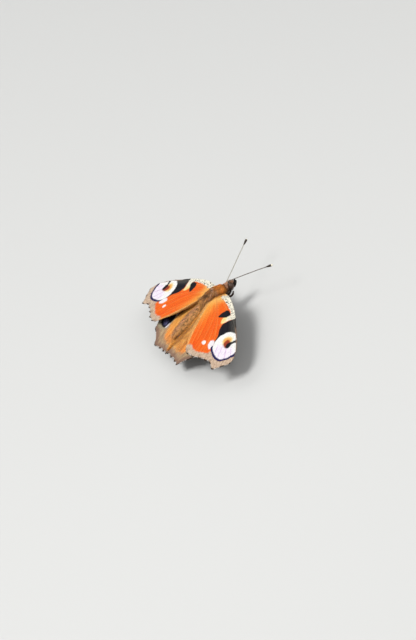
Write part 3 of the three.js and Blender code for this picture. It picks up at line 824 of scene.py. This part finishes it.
def grow_blades(name, roots, lie, normal, length, width, lift, curl, unwrap, colours, finish, slot_name):
    """One mesh of many tapered blades. Each leaves its root at its lift and bends along its lie."""
    count = len(roots)
    length, width, lift, curl = (
        np.broadcast_to(value, count)[:, None] for value in (length, width, lift, curl))
    lie, normal = unit(lie), unit(normal)
    cross = unit(np.cross(lie, normal))
    start = unit(lie * np.cos(lift) + normal * np.sin(lift))
    later = unit(lie * np.cos(lift - curl) + normal * np.sin(lift - curl))
    middle = roots + start * length * 0.5
    points = np.empty((count, 7, 3))
    for k in range(3):
        turn = 2 * math.pi * k / 3
        around = cross * math.cos(turn) + np.cross(cross, start) * math.sin(turn) * BLADE_FLATNESS
        points[:, k] = roots + around * width
        points[:, 3 + k] = middle + around * width * BLADE_TAPER
    points[:, 6] = middle + later * length * 0.5
    base = (np.arange(count) * 7)[:, None]
    quads = np.array([[0, 1, 4, 3], [1, 2, 5, 4], [2, 0, 3, 5]])
    tips = np.array([[3, 4, 6], [4, 5, 6], [5, 3, 6], [0, 2, 1]])
    quad_index = (base[:, :, None] + quads[None]).reshape(-1, 4)
    tip_index = (base[:, :, None] + tips[None]).reshape(-1, 3)
    mesh = bpy.data.meshes.new(name)
    mesh.vertices.add(count * 7)
    mesh.vertices.foreach_set("co", (points * MM).astype(np.float32).ravel())
    loops = np.concatenate((quad_index.ravel(), tip_index.ravel()))
    mesh.loops.add(len(loops))
    mesh.loops.foreach_set("vertex_index", loops.astype(np.int32))
    sizes = np.concatenate((np.full(len(quad_index), 4), np.full(len(tip_index), 3)))
    mesh.polygons.add(len(sizes))
    mesh.polygons.foreach_set("loop_start", (np.cumsum(sizes) - sizes).astype(np.int32))
    mesh.update(calc_edges=True)
    thing = bpy.data.objects.new(name, mesh)
    bpy.context.collection.objects.link(thing)
    corners = np.array([(-1, -1), (1, -1), (0, 1), (-0.6, 0), (0.6, 0), (0, 0.6), (0, 0)]) * BAKE_PATCH
    patch = (unwrap[:, None, :] + corners[None]).reshape(-1, 2)
    layer = mesh.uv_layers.new(name="OFBake")
    layer.data.foreach_set("uv", patch[loops].astype(np.float32).ravel())
    # Each blade's colour carries painted shade at its root and painted light at its tip
    shaded = np.asarray(colours)[:, None, :] * np.array(BLADE_ROOT_SHADE_TIP_LIGHT)[None, :, None]
    shaded *= np.minimum(1, BRIGHTEST / shaded.max(axis=-1, keepdims=True))
    add_colours(thing, "coat", shaded.reshape(-1, 3))
    mesh.polygons.foreach_set("use_smooth", np.ones(len(sizes), bool))
    mesh.materials.append(finish.material)
    settle(thing, slot_name)


def gather(roots, lie, length, locks, pull, random):
    """Draws hairs together into locks. Gives each hair's new lie and the number of its lock."""
    centres = roots[random.choice(len(roots), locks, replace=False)]
    nearest = np.concatenate([np.argmin(((part[:, None] - centres) ** 2).sum(axis=-1), axis=1)
                              for part in np.array_split(roots, 50)])
    return unit(lie) + (centres[nearest] - roots) * (pull / length)[:, None], nearest


def body_unwrap(first, second):
    """Where each hair's patch lies on its piece's bake map, from its shares round and along the body."""
    return np.stack((0.05 + 0.9 * first, 0.05 + 0.9 * second), axis=-1)


def wing_unwrap(plan):
    """Where each hair's patch lies on its piece's bake map, from its place in the wing's plane."""
    return 0.5 + 0.45 * plan / WING_REACH


def hair_finish(name):
    finish = Finish(name, roughness=0.7, specular=0.2)
    finish.paint(finish.colour("coat"), finish.step(finish.strands((9000, 2500, 9000), 2), 0.3, 0.7, 0.8, 1.2))
    return finish


FRINGE_HAIRS = 1500
FRINGE_LENGTH = 0.34
FRINGE_LENGTH_AT_VEIN = 0.2


def make_fringe(wing, side, word, finish, random):
    """A row of hair scales along a wing's outer margin, longer and dark at the veins and pale between."""
    first = wing["scalloped_from"] - 2
    spaces = len(wing["veins"]) - 1
    across = np.sort(random.uniform(first, spaces - 0.1, FRINGE_HAIRS))
    along = np.full(FRINGE_HAIRS, FRINGE_INSET - 0.004)
    here = wing_surface(wing, side, across, along)
    inner = wing_surface(wing, side, across, along - 0.03)
    lie = unit(here["points"] - inner["points"]) + random.normal(0, 0.12, (FRINGE_HAIRS, 3))
    at_vein = np.exp(-((np.minimum(here["share"], 1 - here["share"]) / 0.24) ** 2))
    length = FRINGE_LENGTH + FRINGE_LENGTH_AT_VEIN * at_vein + random.uniform(-0.08, 0.1, FRINGE_HAIRS)
    pale = (at_vein < 0.4) & (random.random(FRINGE_HAIRS) < 0.85)
    colours = np.where(pale[:, None], mix(*FRINGE_PALE, random.random(FRINGE_HAIRS)),
                       mix(*FRINGE_DARK, random.random(FRINGE_HAIRS)))
    normal = np.broadcast_to(here["normal"], lie.shape)
    grow_blades(f"{wing['name']}_{word}_fringe", here["points"], lie, normal, length, 0.05, 0.0, 0.15,
                wing_unwrap(here["plan"]), colours, finish, "wing_scales")


# Trunk
def trunk_table():
    """Forward, half width, half height and centre of the bare skin, from the abdomen's tip to the face."""
    rows = [list(row) for row in HEAD_WIDTHS]
    for forward, width, height, up in THORAX_WIDTHS:
        rows.append([forward - 0.02, width - THORAX_COAT, height - THORAX_COAT, up])
    for k in range(1, ABDOMEN_STEPS):
        share = k / ABDOMEN_STEPS
        swell = ABDOMEN_RADIUS * math.sin(math.pi * (0.2 + 0.78 * share)) ** 0.55
        swell -= ABDOMEN_COAT * (1 - share) ** 0.2
        groove = abs((share * ABDOMEN_SEGMENTS) % 1 - 0.5) * 2
        swell *= 1 - 0.05 * groove**6
        up = ABDOMEN_UP - share * ABDOMEN_LENGTH * ABDOMEN_SLOPE
        rows.append([ABDOMEN_FRONT - share * ABDOMEN_LENGTH, swell, swell * 0.96, up])
    end_up = ABDOMEN_UP - ABDOMEN_LENGTH * ABDOMEN_SLOPE
    rows.append([ABDOMEN_FRONT - ABDOMEN_LENGTH + 0.05, 0.12, 0.12, end_up])
    return np.array(sorted(rows))


TRUNK = trunk_table()
TRUNK_ENDS = (TRUNK[0, 0], TRUNK[-1, 0])


def trunk_surface(forward, angle):
    """A place on the trunk's skin, and its outward direction. The angle turns from the left side up."""
    width, height, up = between(TRUNK, forward, 1, 2, 3)
    points = place(width * np.cos(angle), forward, up + height * np.sin(angle))
    step = 0.15
    wider, taller = between(TRUNK, forward + step, 1, 2)
    narrower, lower = between(TRUNK, forward - step, 1, 2)
    slope = (wider - narrower + taller - lower) / (4 * step)
    around = (np.cos(angle) / width, slope / np.maximum(width, height), np.sin(angle) / height)
    return points, unit(np.stack(around, axis=-1))


def trunk_colour(points, random=None, tone=1.0, kind=0.5):
    """The coat's colour on the body: a rust collar, a grey brown saddle and a golden rump. The abdomen
    is brown along its back with golden flanks, the head red brown, and all is dark underneath.
    Each lock of hair has its tone, and its kind, from 0 to 1, which picks rust, brown, pale or dark."""
    sideways, forward, up = points[:, 0], LENGTHWISE - points[:, 1], points[:, 2] - HINGE_HEIGHT
    colour = np.broadcast_to(FLANK, points.shape).copy()
    saddle = ease(up, -0.7, 0.4) * ease(forward, -3.2, -2.3) * (1 - ease(forward, 1.0, 2.3))
    locks = np.broadcast_to(SADDLE, points.shape)
    locks = np.where(np.reshape(kind < 0.22, (-1, 1)), RUST_LOCK, locks)
    locks = np.where(np.reshape(kind > 0.82, (-1, 1)), PALE_LOCK, locks)
    locks = np.where(np.reshape(np.abs(kind - 0.7) < 0.07, (-1, 1)), DARK_LOCK, locks)
    colour = mix(colour, locks, saddle)
    colour = mix(colour, RUMP, 1 - ease(forward, -3.2, -2.3))
    colour = mix(colour, COLLAR, ease(forward, 1.0, 2.2))
    on_abdomen = 1 - ease(forward, -4.8, -4.2)
    abdomen_up = up - ABDOMEN_UP - (forward - ABDOMEN_FRONT) * ABDOMEN_SLOPE
    back = np.exp(-((sideways / 1.0) ** 2)) * ease(abdomen_up, -0.2, 0.8)
    colour = mix(colour, ABDOMEN_FLANK, on_abdomen)
    colour = mix(colour, ABDOMEN_BACK, on_abdomen * back)
    edge = np.exp(-(((np.abs(sideways) - 1.15) / 0.25) ** 2)) * ease(abdomen_up, -0.2, 0.4)
    colour = mix(colour, DARK_LOCK, on_abdomen * np.maximum(edge * (kind < 0.45), (kind > 0.9) * 1.0) * 0.7)
    colour = mix(colour, CROWN, ease(forward, 3.7, 4.3))
    # Painted shade: a dark ring in the gap between the head and the collar
    neck_shade = np.exp(-(((forward - 3.95) / 0.22) ** 2)) * (kind < 0.6)
    colour = mix(colour, FACE, neck_shade * 0.85)
    colour = mix(colour, FACE, ease(forward, 3.9, 4.6) * (1 - ease(up, -1.0, -0.2)))
    height = np.where(on_abdomen > 0.5, abdomen_up, up - 0.9 * ease(forward, 1.8, 3.0))
    colour = mix(colour, BELLY, 1 - ease(height, -2.0, -1.0))
    if random is not None:
        pale = (random.random(len(points)) < 0.3) & (forward > 4.2) & (up > -0.6)
        colour = np.where(pale[:, None], CROWN_PALE, colour)
        colour = colour * random.uniform(0.78, 1.2, (len(points), 1)) * np.reshape(tone, (-1, 1))
    return colour


def make_trunk():
    """One skin from face to tail: a sphere drawn out along the body and set to its widths."""
    deselect()
    bpy.ops.mesh.primitive_uv_sphere_add(segments=64, ring_count=220, radius=1)
    skin = newest("body_skin")
    ball = read_points(skin)
    share = np.arccos(np.clip(ball[:, 2], -1, 1)) / math.pi
    forward = TRUNK_ENDS[1] + (TRUNK_ENDS[0] - TRUNK_ENDS[1]) * share
    points, _ = trunk_surface(forward, np.arctan2(ball[:, 1], ball[:, 0]))
    pole = (share < 1e-4) | (share > 1 - 1e-4)
    up, = between(TRUNK, forward[pole], 3)
    points[pole] = place(0, forward[pole], up)
    put_points(skin, points)
    face_outwards()
    bpy.ops.object.shade_smooth()
    add_colours(skin, "coat", trunk_colour(points))
    finish = Finish("body_skin_under_hair", sheen=0.2)
    finish.paint(finish.colour("coat"), finish.step(finish.strands((6000, 1500, 6000), 3), 0.3, 0.7, 0.75, 1.2))
    finish.bump(finish.strands((9000, 2200, 9000), 3), 0.6, 0.08)
    skin.data.materials.append(finish.material)
    settle(skin, "body_fur", "head", "thorax", "abdomen")


def clear_of_eyes(points):
    """Whether each place lies outside both eyes."""
    clear = np.ones(len(points), bool)
    for side, _ in SIDES:
        off = (points - place(*EYE_PLACE, side)) / np.array(EYE_RADII)
        clear &= np.linalg.norm(off, axis=1) > EYE_CLEARANCE
    return clear


def grow_body_hair(name, ends, count, length, width, lift, random, finish, turn=(0.0, 2 * math.pi),
                   way=(0.0, 1.0, 0.0), locks=500, spread=0.0):
    """Hair over a stretch of the trunk, lying backwards unless another way is given. It is longer and combed
    sideways along the upper flank by the wings."""
    forward = random.uniform(*ends, count * 3)
    girth, = between(TRUNK, forward, 1)
    forward = forward[random.random(len(forward)) < girth / WIDEST][:count]
    angle = random.uniform(*turn, len(forward))
    points, normal = trunk_surface(forward, angle)
    tall = length * random.uniform(0.6, 1.25, len(forward))
    above = (points[:, 2] - HINGE_HEIGHT - FLANK_UP) / FLANK_DEPTH
    flank = np.exp(-(above**2)) * (np.abs(forward - FLANK_MIDDLE) < FLANK_HALF)
    tall = tall * (1 + 0.9 * flank)
    lie = np.array(way) + random.normal(0, 0.2, points.shape)
    lie[:, 0] += np.sign(points[:, 0]) * (0.9 * flank + spread)
    lie = lie - normal * np.sum(lie * normal, axis=1, keepdims=True)
    lie, lock = gather(points, lie, tall, locks, 0.7, random)
    tone = random.uniform(0.7, 1.25, locks)[lock]
    kind = random.random(locks)[lock]
    lifts = lift + random.normal(0, 0.1, len(forward))
    rise = unit(unit(lie) * np.cos(lifts)[:, None] + normal * np.sin(lifts)[:, None])
    reach = points + rise * (tall * 0.6)[:, None]
    keep = clear_of_eyes(points) & clear_of_eyes(reach)
    unwrap = body_unwrap(angle / (2 * math.pi) % 1, (forward - TRUNK_ENDS[0]) / (TRUNK_ENDS[1] - TRUNK_ENDS[0]))
    colours = trunk_colour(points, random, tone, kind)
    grow_blades(name, points[keep], lie[keep], normal[keep], tall[keep], width, lifts[keep], 0.45,
                unwrap[keep], colours[keep], finish, "body_fur")


SHOULDER_SPAN = (-2.9, 3.3)
SHOULDER_HAIRS = 3200
SHOULDER_REACH = {1: (2.3, 3.0), -1: (2.5, 3.7)}


def grow_shoulder_hair(side, word, random, finish):
    """Long hair from the upper flank of the thorax, combed out and back over the forewing's base."""
    wing = as_held(FOREWING, side)
    count = SHOULDER_HAIRS
    forward = random.uniform(*SHOULDER_SPAN, count)
    angle = random.uniform(0.55, 1.2, count)
    roots, _ = trunk_surface(forward, angle)
    roots[:, 0] *= side
    out = random.uniform(*SHOULDER_REACH[side], count) * (0.75 + 0.25 * np.cos((forward - 0.6) / 3.2))
    back = forward - random.uniform(0.3, 1.5, count)
    ahead, beyond = back - wing["hinge"][1], out - wing["hinge"][0]
    height = wing["hinge"][2] + 0.05 * ahead - 0.06 * beyond - front_dip(wing, beyond, ahead)
    lie = place(out, back, height + random.uniform(0.1, 0.4, count), side) - roots
    tall = np.linalg.norm(lie, axis=1) * random.uniform(0.75, 1.0, count)
    locks = count // SHOULDER_LOCK
    lie, lock = gather(roots, lie, tall, locks, 0.4, random)
    tone = random.uniform(0.7, 1.3, locks)[lock]
    colours = trunk_colour(roots, random, tone, random.random(locks)[lock])
    unwrap = body_unwrap(angle / 2, (forward - SHOULDER_SPAN[0]) / (SHOULDER_SPAN[1] - SHOULDER_SPAN[0]))
    normal = np.broadcast_to((0.0, 0.0, 1.0), lie.shape)
    grow_blades(f"shoulder_hair_{word}", roots, lie, normal, tall, 0.036, 0.25, 0.5,
                unwrap, colours, finish, "body_fur")


# Tubes: legs, antennae, palps and tongue
def make_tube(name, path, radii, finish, slot_name, nodes, sides=12):
    """A tapered round tube along a path, from a bevelled curve made a mesh."""
    deselect()
    bpy.ops.curve.primitive_nurbs_path_add()
    curve = newest(name)
    curve.data.splines.clear()
    spline = curve.data.splines.new("POLY")
    spline.points.add(len(path) - 1)
    for point, at, radius in zip(spline.points, path, radii):
        point.co = (*(at * MM), 1)
        point.radius = radius
    curve.data.dimensions = "3D"
    curve.data.bevel_depth = MM
    curve.data.bevel_resolution = (sides - 4) // 2
    curve.data.use_fill_caps = True
    curve.data.twist_mode = "MINIMUM"
    bpy.ops.object.convert(target="MESH")
    tube = newest(name)
    face_outwards(merge_within=0.00001 * MM)
    bpy.ops.object.shade_smooth()
    tube.data.materials.append(finish.material)
    settle(tube, slot_name, *nodes)
    return tube


def body_path(points, side):
    """A few places on the body's left or right side, as an array."""
    return np.array([place(*point, side) for point in points])


def make_limb(name, knots, widths, side, finish, slot_name, node):
    """A short limb that bends smoothly. Its path and radii are given back for its hair."""
    path = smooth_path(body_path(knots, side), LIMB_STEPS)
    radii = np.interp(np.linspace(0, 1, len(path)), np.linspace(0, 1, len(widths)), widths)
    make_tube(name, path, radii, finish, slot_name, [node])
    return path, radii


def antenna_finish():
    """Dark above and outside, pale on the inner side, ringed with white, with a whitish tip."""
    finish = Finish("antenna_rings", roughness=0.5)
    along, step = finish.value("along"), finish.step
    ring = finish.math("FRACT", finish.times(along, ANTENNA_RINGS))
    shaft = step(along, 0.88, 0.82)
    finish.paint(finish.layers(
        ANTENNA_DARK,
        (ANTENNA_PALE_RING, step(ring, 0.6, 0.75), shaft),
        (ANTENNA_INNER, step(finish.value("inner"), -0.1, 0.7), shaft, 0.75),
        (ANTENNA_TIP, step(along, 0.968, 0.982)),
    ))
    return finish


def make_antenna(side, word, finish):
    """A thin ringed shaft that swells to a blunt club, with a round joint at its root."""
    points = body_path(ANTENNA_PATH, side)
    points = points[0] + (points - points[0]) * ANTENNA_STRETCH[side]
    path = smooth_path(np.concatenate(([place(*ANTENNA_ROOT, side)], points)), ANTENNA_STEPS)
    along = np.concatenate(([0], np.cumsum(np.linalg.norm(np.diff(path, axis=0), axis=1))))
    along /= along[-1]
    swell = ease(along, *ANTENNA_CLUB_SPAN)
    past_club = (along - ANTENNA_CLUB_SPAN[1]) / (1 - ANTENNA_CLUB_SPAN[1])
    blunt = np.sqrt(np.clip(1 - np.clip(past_club, 0, 1) ** 2, 0.01, 1))
    ring = 1 + 0.07 * np.cos(2 * math.pi * along * ANTENNA_RINGS)
    radii = (ANTENNA_RADIUS * ring + (ANTENNA_CLUB - ANTENNA_RADIUS) * swell) * blunt
    radii = radii + 0.12 * np.exp(-((along / 0.03) ** 2))
    tube = make_tube(f"antenna_{word}_ringed", path, radii, finish, "antenna", [f"antenna_{word}"], sides=16)
    points = read_points(tube).astype(float) / MM
    nearest = np.array([np.argmin(np.sum((path - point) ** 2, axis=1)) for point in points])
    add_values(tube, "along", along[nearest])
    add_values(tube, "inner", -side * (points - path[nearest])[:, 0] / radii[nearest])


def leg_finish():
    finish = Finish("leg_cuticle", roughness=0.55, sheen=0.15, specular=0.35)
    finish.paint(finish.layers(LEG_DARK, (LEG_BROWN, finish.noise(finish.places(), 1800, 3))))
    finish.bump(finish.noise(finish.places(), 14000, 2), 0.4, 0.03)
    return finish


def make_leg(joints, side, name, nodes, finish):
    """A jointed leg that starts inside the chest. Each part swells in its middle, and the foot is ringed."""
    sideways, forward, up = joints[0]
    corners = body_path(((sideways * 0.85, forward, up + 0.8), *joints), side)
    path, radii = [], []
    foot = len(corners) - 2
    for k in range(len(corners) - 1):
        for share in np.linspace(0, 1, LEG_STEPS, endpoint=False):
            path.append(corners[k] + (corners[k + 1] - corners[k]) * share)
            base = LEG_RADII[k] + (LEG_RADII[k + 1] - LEG_RADII[k]) * share
            if k == foot:
                base *= 1 + 0.16 * math.cos(share * FOOT_JOINTS * 2 * math.pi)
            radii.append(base * (1 + 0.12 * math.sin(share * math.pi)))
    path.append(corners[-1])
    radii.append(LEG_TIP_RADIUS)
    make_tube(name, np.array(path), radii, finish, "leg", nodes)
    return np.array(path), np.array(radii)


def grow_limb_hair(name, path, radii, count, length, random, finish, colour, slot_name):
    """Short hair all round a limb, lying towards its tip."""
    at = random.uniform(0.2, len(path) - 1.6, count * 3)
    at = at[random.random(len(at)) < radii[at.astype(int)] / radii.max()][:count]
    count = len(at)
    low = at.astype(int)
    share = (at - low)[:, None]
    centre = path[low] + (path[low + 1] - path[low]) * share
    along = unit(path[low + 1] - path[low])
    level = unit(np.cross(along, np.array((0.13, 0.21, 0.97))))
    steep = np.cross(along, level)
    turn = random.uniform(0, 2 * math.pi, count)[:, None]
    normal = level * np.cos(turn) + steep * np.sin(turn)
    roots = centre + normal * (radii[low] * 0.85)[:, None]
    unwrap = body_unwrap(turn[:, 0] / (2 * math.pi), at / len(path))
    tall = length * random.uniform(0.6, 1.3, count)
    shade = np.array(colour) * random.uniform(0.5, 1.6, (count, 1))
    grow_blades(name, roots, along, normal, tall, LIMB_HAIR_WIDTH, 0.35, 0.25, unwrap, shade, finish, slot_name)


def grow_claws(name, joints, side, finish):
    """Two small dark claws, side by side, hooked down to the floor at the end of a leg."""
    tip, before = (place(*joint, side) for joint in (joints[-1], joints[-2]))
    along = unit((tip - before) * np.array((1, 1, 0)))
    apart = np.array((-along[1], along[0], 0))
    roots = np.stack([tip - along * 0.12 + apart * off + (0, 0, 0.06) for off in (-0.06, 0.06)])
    lie = np.stack([along + apart * off for off in (-0.5, 0.5)])
    up = np.broadcast_to((0.0, 0.0, 1.0), lie.shape)
    grow_blades(name, roots, lie, up, CLAW_LENGTH, 0.045, 0.45, 1.3, np.full((2, 2), 0.5),
                np.array([CLAW_BLACK] * 2), finish, "leg")


def make_eye(side, word):
    """A faceted eye on the side of the head."""
    deselect()
    bpy.ops.mesh.primitive_uv_sphere_add(segments=48, ring_count=32, radius=1)
    eye = newest(f"compound_eye_{word}")
    put_points(eye, place(*EYE_PLACE, side) + read_points(eye) * np.array(EYE_RADII))
    bpy.ops.object.shade_smooth()
    finish = Finish(f"eye_facets_{word}", roughness=0.35, specular=0.4)
    facets = finish.cells(finish.places(), 15000).outputs["Distance"]
    finish.paint(finish.layers(EYE_FACET, (EYE_SEAM, finish.step(facets, 0.2, 0.6))))
    finish.bump(facets, 0.4, 0.02)
    eye.data.materials.append(finish.material)
    settle(eye, "eye", f"eye_{word}")


def make_tongue():
    """The coiled tongue below the face."""
    share = np.linspace(0, 1, TONGUE_STEPS)
    angle = math.pi / 2 + share * TONGUE["turns"] * 2 * math.pi
    reach = TONGUE["outer"] + (TONGUE["inner"] - TONGUE["outer"]) * share
    coil = place(0, TONGUE["forward"] - reach * np.cos(angle), TONGUE["up"] + reach * np.sin(angle))
    path = np.concatenate(([place(*TONGUE_ROOT)], coil))
    radii = np.concatenate(([TONGUE_ROOT_RADIUS], TONGUE["radius"] * (1 - 0.35 * share)))
    finish = Finish("tongue_cuticle", roughness=0.4, specular=0.4)
    finish.paint(finish.layers(TONGUE_DARK, (TONGUE_BROWN, finish.noise(finish.places(), 5000, 2))))
    make_tube("coiled_tongue", path, radii, finish, "tongue", ["proboscis"])


def grow_wing_hair(name, wing, side, spans, count, length, tones, random, finish, turn=0.0, width=0.04,
                   lift=(0.05, 0.2), curl=0.2):
    """Long soft hair lying along a wing near the body, or turned from there towards its inner edge."""
    across, along = (random.uniform(*span, count) for span in spans)
    here = wing_surface(wing, side, across, along, WING_SHEET / 2)
    ahead = wing_surface(wing, side, across, along + 0.02, WING_SHEET / 2)["points"] - here["points"]
    inward = here["points"] - wing_surface(wing, side, across - 0.05, along, WING_SHEET / 2)["points"]
    lie = unit(ahead) * math.cos(turn) + unit(inward) * math.sin(turn) + random.normal(0, 0.09, (count, 3))
    tall = length * random.uniform(0.6, 1.2, count)
    if wing is FOREWING:
        tall = tall * (1 - 0.93 * (along / spans[1][1]) ** 1.6)
    locks = count // WING_LOCK
    lie, lock = gather(here["points"], lie, tall, locks, 0.5, random)
    tone = random.uniform(0.8, 1.2, locks)[lock][:, None]
    colours = mix(*tones, random.random(count)) * random.uniform(0.8, 1.2, (count, 1)) * tone
    if wing is HINDWING:
        striped = ease(-loop_distance(here["plan"], HIND_MARKS["stripe"]), -0.4, 0.2)
        colours = mix(colours, STRIPE_HAIR, striped * 0.6)
    normal = np.broadcast_to(here["normal"], lie.shape)
    grow_blades(name, here["points"], lie, normal, tall, width, random.uniform(*lift, count), curl,
                wing_unwrap(here["plan"]), colours, finish, "wing_scales")


# Wing hair: its name, its wing, its spans across the veins and along them, how many, how long, its
# tones and what else sets it apart
WING_HAIR = (
    ("base_hair", FOREWING, ((2.0, 12.0), (0.0, 0.05)), 700, 1.0, WING_HAIR_TONES, {}),
    ("rear_hair", FOREWING, ((11.68, 11.99), (0.01, 0.85)), 4200, 1.5, REAR_HAIR_TONES,
     {"turn": 0.85, "lift": (-0.3, 0.0), "curl": 0.65}),
    ("base_hair", HINDWING, ((0.5, 9.0), (0.0, 0.25)), 1000, 1.8, WING_HAIR_TONES, {}),
    ("inner_hair", HINDWING, ((6.4, 9.0), (0.2, 0.84)), 900, 1.5, INNER_HAIR_TONES, {"width": 0.032}),
    ("inner_fringe", HINDWING, ((8.6, 8.98), (0.04, 0.97)), 3200, 1.15, WING_HAIR_TONES, {"turn": 0.75}),
)

# Body hair: its name, its stretch of the trunk, how many, length, width, lift and what else sets it apart
BODY_HAIR = (
    ("thorax_hair", (-4.3, 3.8), 19000, 0.95, 0.034, 0.4, {"locks": 420}),
    ("thorax_rear_tuft", (-4.3, -2.2), 2600, 1.7, 0.032, 0.22, {"turn": (0.1, math.pi - 0.1), "locks": 70}),
    ("waist_tuft", (-4.4, -2.4), 3600, 2.3, 0.034, 0.2,
     {"turn": (-0.15, math.pi + 0.15), "locks": 80, "spread": 0.45}),
    ("abdomen_tip_tuft", (-16.1, -13.0), 1600, 1.3, 0.03, 0.12, {"locks": 60}),
    ("abdomen_hair", (-16.1, -4.2), 12000, 0.55, 0.03, 0.14, {"locks": 420}),
    ("abdomen_side_hair_left", (-15.6, -4.4), 3000, 1.0, 0.032, 0.35,
     {"turn": (-0.9, 0.3), "locks": 150, "spread": 0.75}),
    ("abdomen_side_hair_right", (-15.6, -4.4), 3000, 1.0, 0.032, 0.35,
     {"turn": (math.pi - 0.3, math.pi + 0.9), "locks": 150, "spread": 0.75}),
)
HEAD_HAIR = (
    ("head_hair", (3.9, 6.2), 8000, 0.48, 0.024, 0.45, {}),
    ("face_tuft", (4.9, 6.28), 6000, 0.6, 0.024, 0.45,
     {"turn": (-0.5, math.pi + 0.5), "way": (0.0, -1.0, 0.3), "locks": 90}),
)

# The whole animal
random = np.random.default_rng(11)
upper = {"forewing": fore_upper(), "hindwing": hind_upper()}
under = wing_underside()
hair, wing_hair, fringe_hair, leg_hair = (
    hair_finish(name) for name in ("body_hair", "wing_hair", "fringe_scales", "leg_hair"))
leg_skin = leg_finish()
rings = antenna_finish()

for side, word in SIDES:
    for wing in (FOREWING, HINDWING):
        make_wing(wing, side, word, (upper[wing["name"]], under))
        make_fringe(wing, side, word, fringe_hair, random)
    for coat, wing, *shape, more in WING_HAIR:
        grow_wing_hair(f"{wing['name']}_{word}_{coat}", wing, side, *shape, random, wing_hair, **more)
    make_antenna(side, word, rings)
    make_eye(side, word)
    limb = make_limb(f"palp_{word}_skin", PALP_PATH, PALP_RADII, side, leg_skin, "body_fur", f"palp_{word}")
    grow_limb_hair(f"palp_{word}_hair", *limb, 2600, 0.32, random, hair, PALP_BLACK, "body_fur")
    for leg, joints in LEGS:
        nodes = [f"{leg}_{part}_{word}" for part in ("coxa", "femur", "tibia", "tarsus")]
        limb = make_leg(joints, side, f"{leg}_{word}_cuticle", nodes, leg_skin)
        grow_limb_hair(f"{leg}_{word}_hair", *limb, 2400, 0.32, random, leg_hair, LEG_HAIR, "leg")
    limb = make_limb(f"foreleg_{word}_cuticle", FORELEG_PATH, FORELEG_RADII, side, leg_skin, "leg",
                     f"foreleg_{word}")
    grow_limb_hair(f"foreleg_{word}_brush", *limb, 1800, 0.38, random, leg_hair, FORELEG_HAIR, "leg")
    for leg, joints in LEGS:
        grow_claws(f"{leg}_{word}_claws", joints, side, leg_hair)

make_trunk()
make_tongue()
for name, *shape, more in BODY_HAIR:
    grow_body_hair(name, *shape, random, hair, **more)
for side, word in SIDES:
    grow_shoulder_hair(side, word, random, hair)
for name, *shape, more in HEAD_HAIR:
    grow_body_hair(name, *shape, random, hair, **more)


# Floor, light and camera
def make_floor():
    deselect()
    bpy.ops.mesh.primitive_plane_add(size=8)
    floor = newest("floor")
    finish = Finish("pale_floor", roughness=0.9, specular=0.1)
    finish.paint(FLOOR_GREY)
    floor.data.materials.append(finish.material)


# Lamps: where each stands and its width, both in metres, and its power
LAMPS = (
    ("key", (-0.14, 0.24, 0.68), 0.3, 4.0),
    ("fill", (-0.45, -0.35, 0.38), 0.5, 1.5),
    ("back", (0.45, 0.1, 0.4), 0.4, 1.0),
)


def add_light(name, stand, size, power):
    """A square lamp that shines on the middle of the floor."""
    light = bpy.data.lights.new(name, "AREA")
    light.size = size
    light.energy = power
    lamp = bpy.data.objects.new(name, light)
    bpy.context.collection.objects.link(lamp)
    lamp.location = stand
    lamp.rotation_euler = (-Vector(stand)).to_track_quat("-Z", "Y").to_euler()


PHOTO_SIZE = (416, 640)
PIXELS_PER_MM = 3.6
HINGE_PIXEL = (214.2, 294.9)
CAMERA_DISTANCE = 1000.0
TOWARDS_CAMERA = np.array((-0.878, 0.073, 0.474))
IMAGE_UP = np.array((0.33, -0.625, 0.708))


def make_camera():
    """The camera stands where the photo was taken from, turned with the animal."""
    back = unit(TOWARDS_CAMERA)
    up = unit(IMAGE_UP - back * (IMAGE_UP @ back))
    right = np.cross(up, back)
    hinge = np.array((0, LENGTHWISE, HINGE_HEIGHT))
    across = (PHOTO_SIZE[0] / 2 - HINGE_PIXEL[0]) / PIXELS_PER_MM
    down = (PHOTO_SIZE[1] / 2 - HINGE_PIXEL[1]) / PIXELS_PER_MM
    target = hinge + right * across - up * down
    camera = bpy.data.cameras.new("camera")
    camera.sensor_width = 36
    camera.lens = PIXELS_PER_MM * CAMERA_DISTANCE / PHOTO_SIZE[1] * camera.sensor_width
    camera.clip_start = 0.01
    thing = bpy.data.objects.new("camera", camera)
    bpy.context.collection.objects.link(thing)
    thing.location = (target + back * CAMERA_DISTANCE) * MM
    axes = np.stack((right, up, back), axis=1)
    thing.rotation_euler = Matrix(axes.tolist()).to_euler()
    bpy.context.scene.camera = thing


make_floor()
for lamp in LAMPS:
    add_light(*lamp)
world = bpy.data.worlds.new("studio")
world.use_nodes = True
sky = world.node_tree.nodes["Background"].inputs
sky["Color"].default_value = (*SKY_WHITE, 1)
sky["Strength"].default_value = SKY_STRENGTH
bpy.context.scene.world = world
bpy.context.scene.view_settings.view_transform = "Standard"
make_camera()
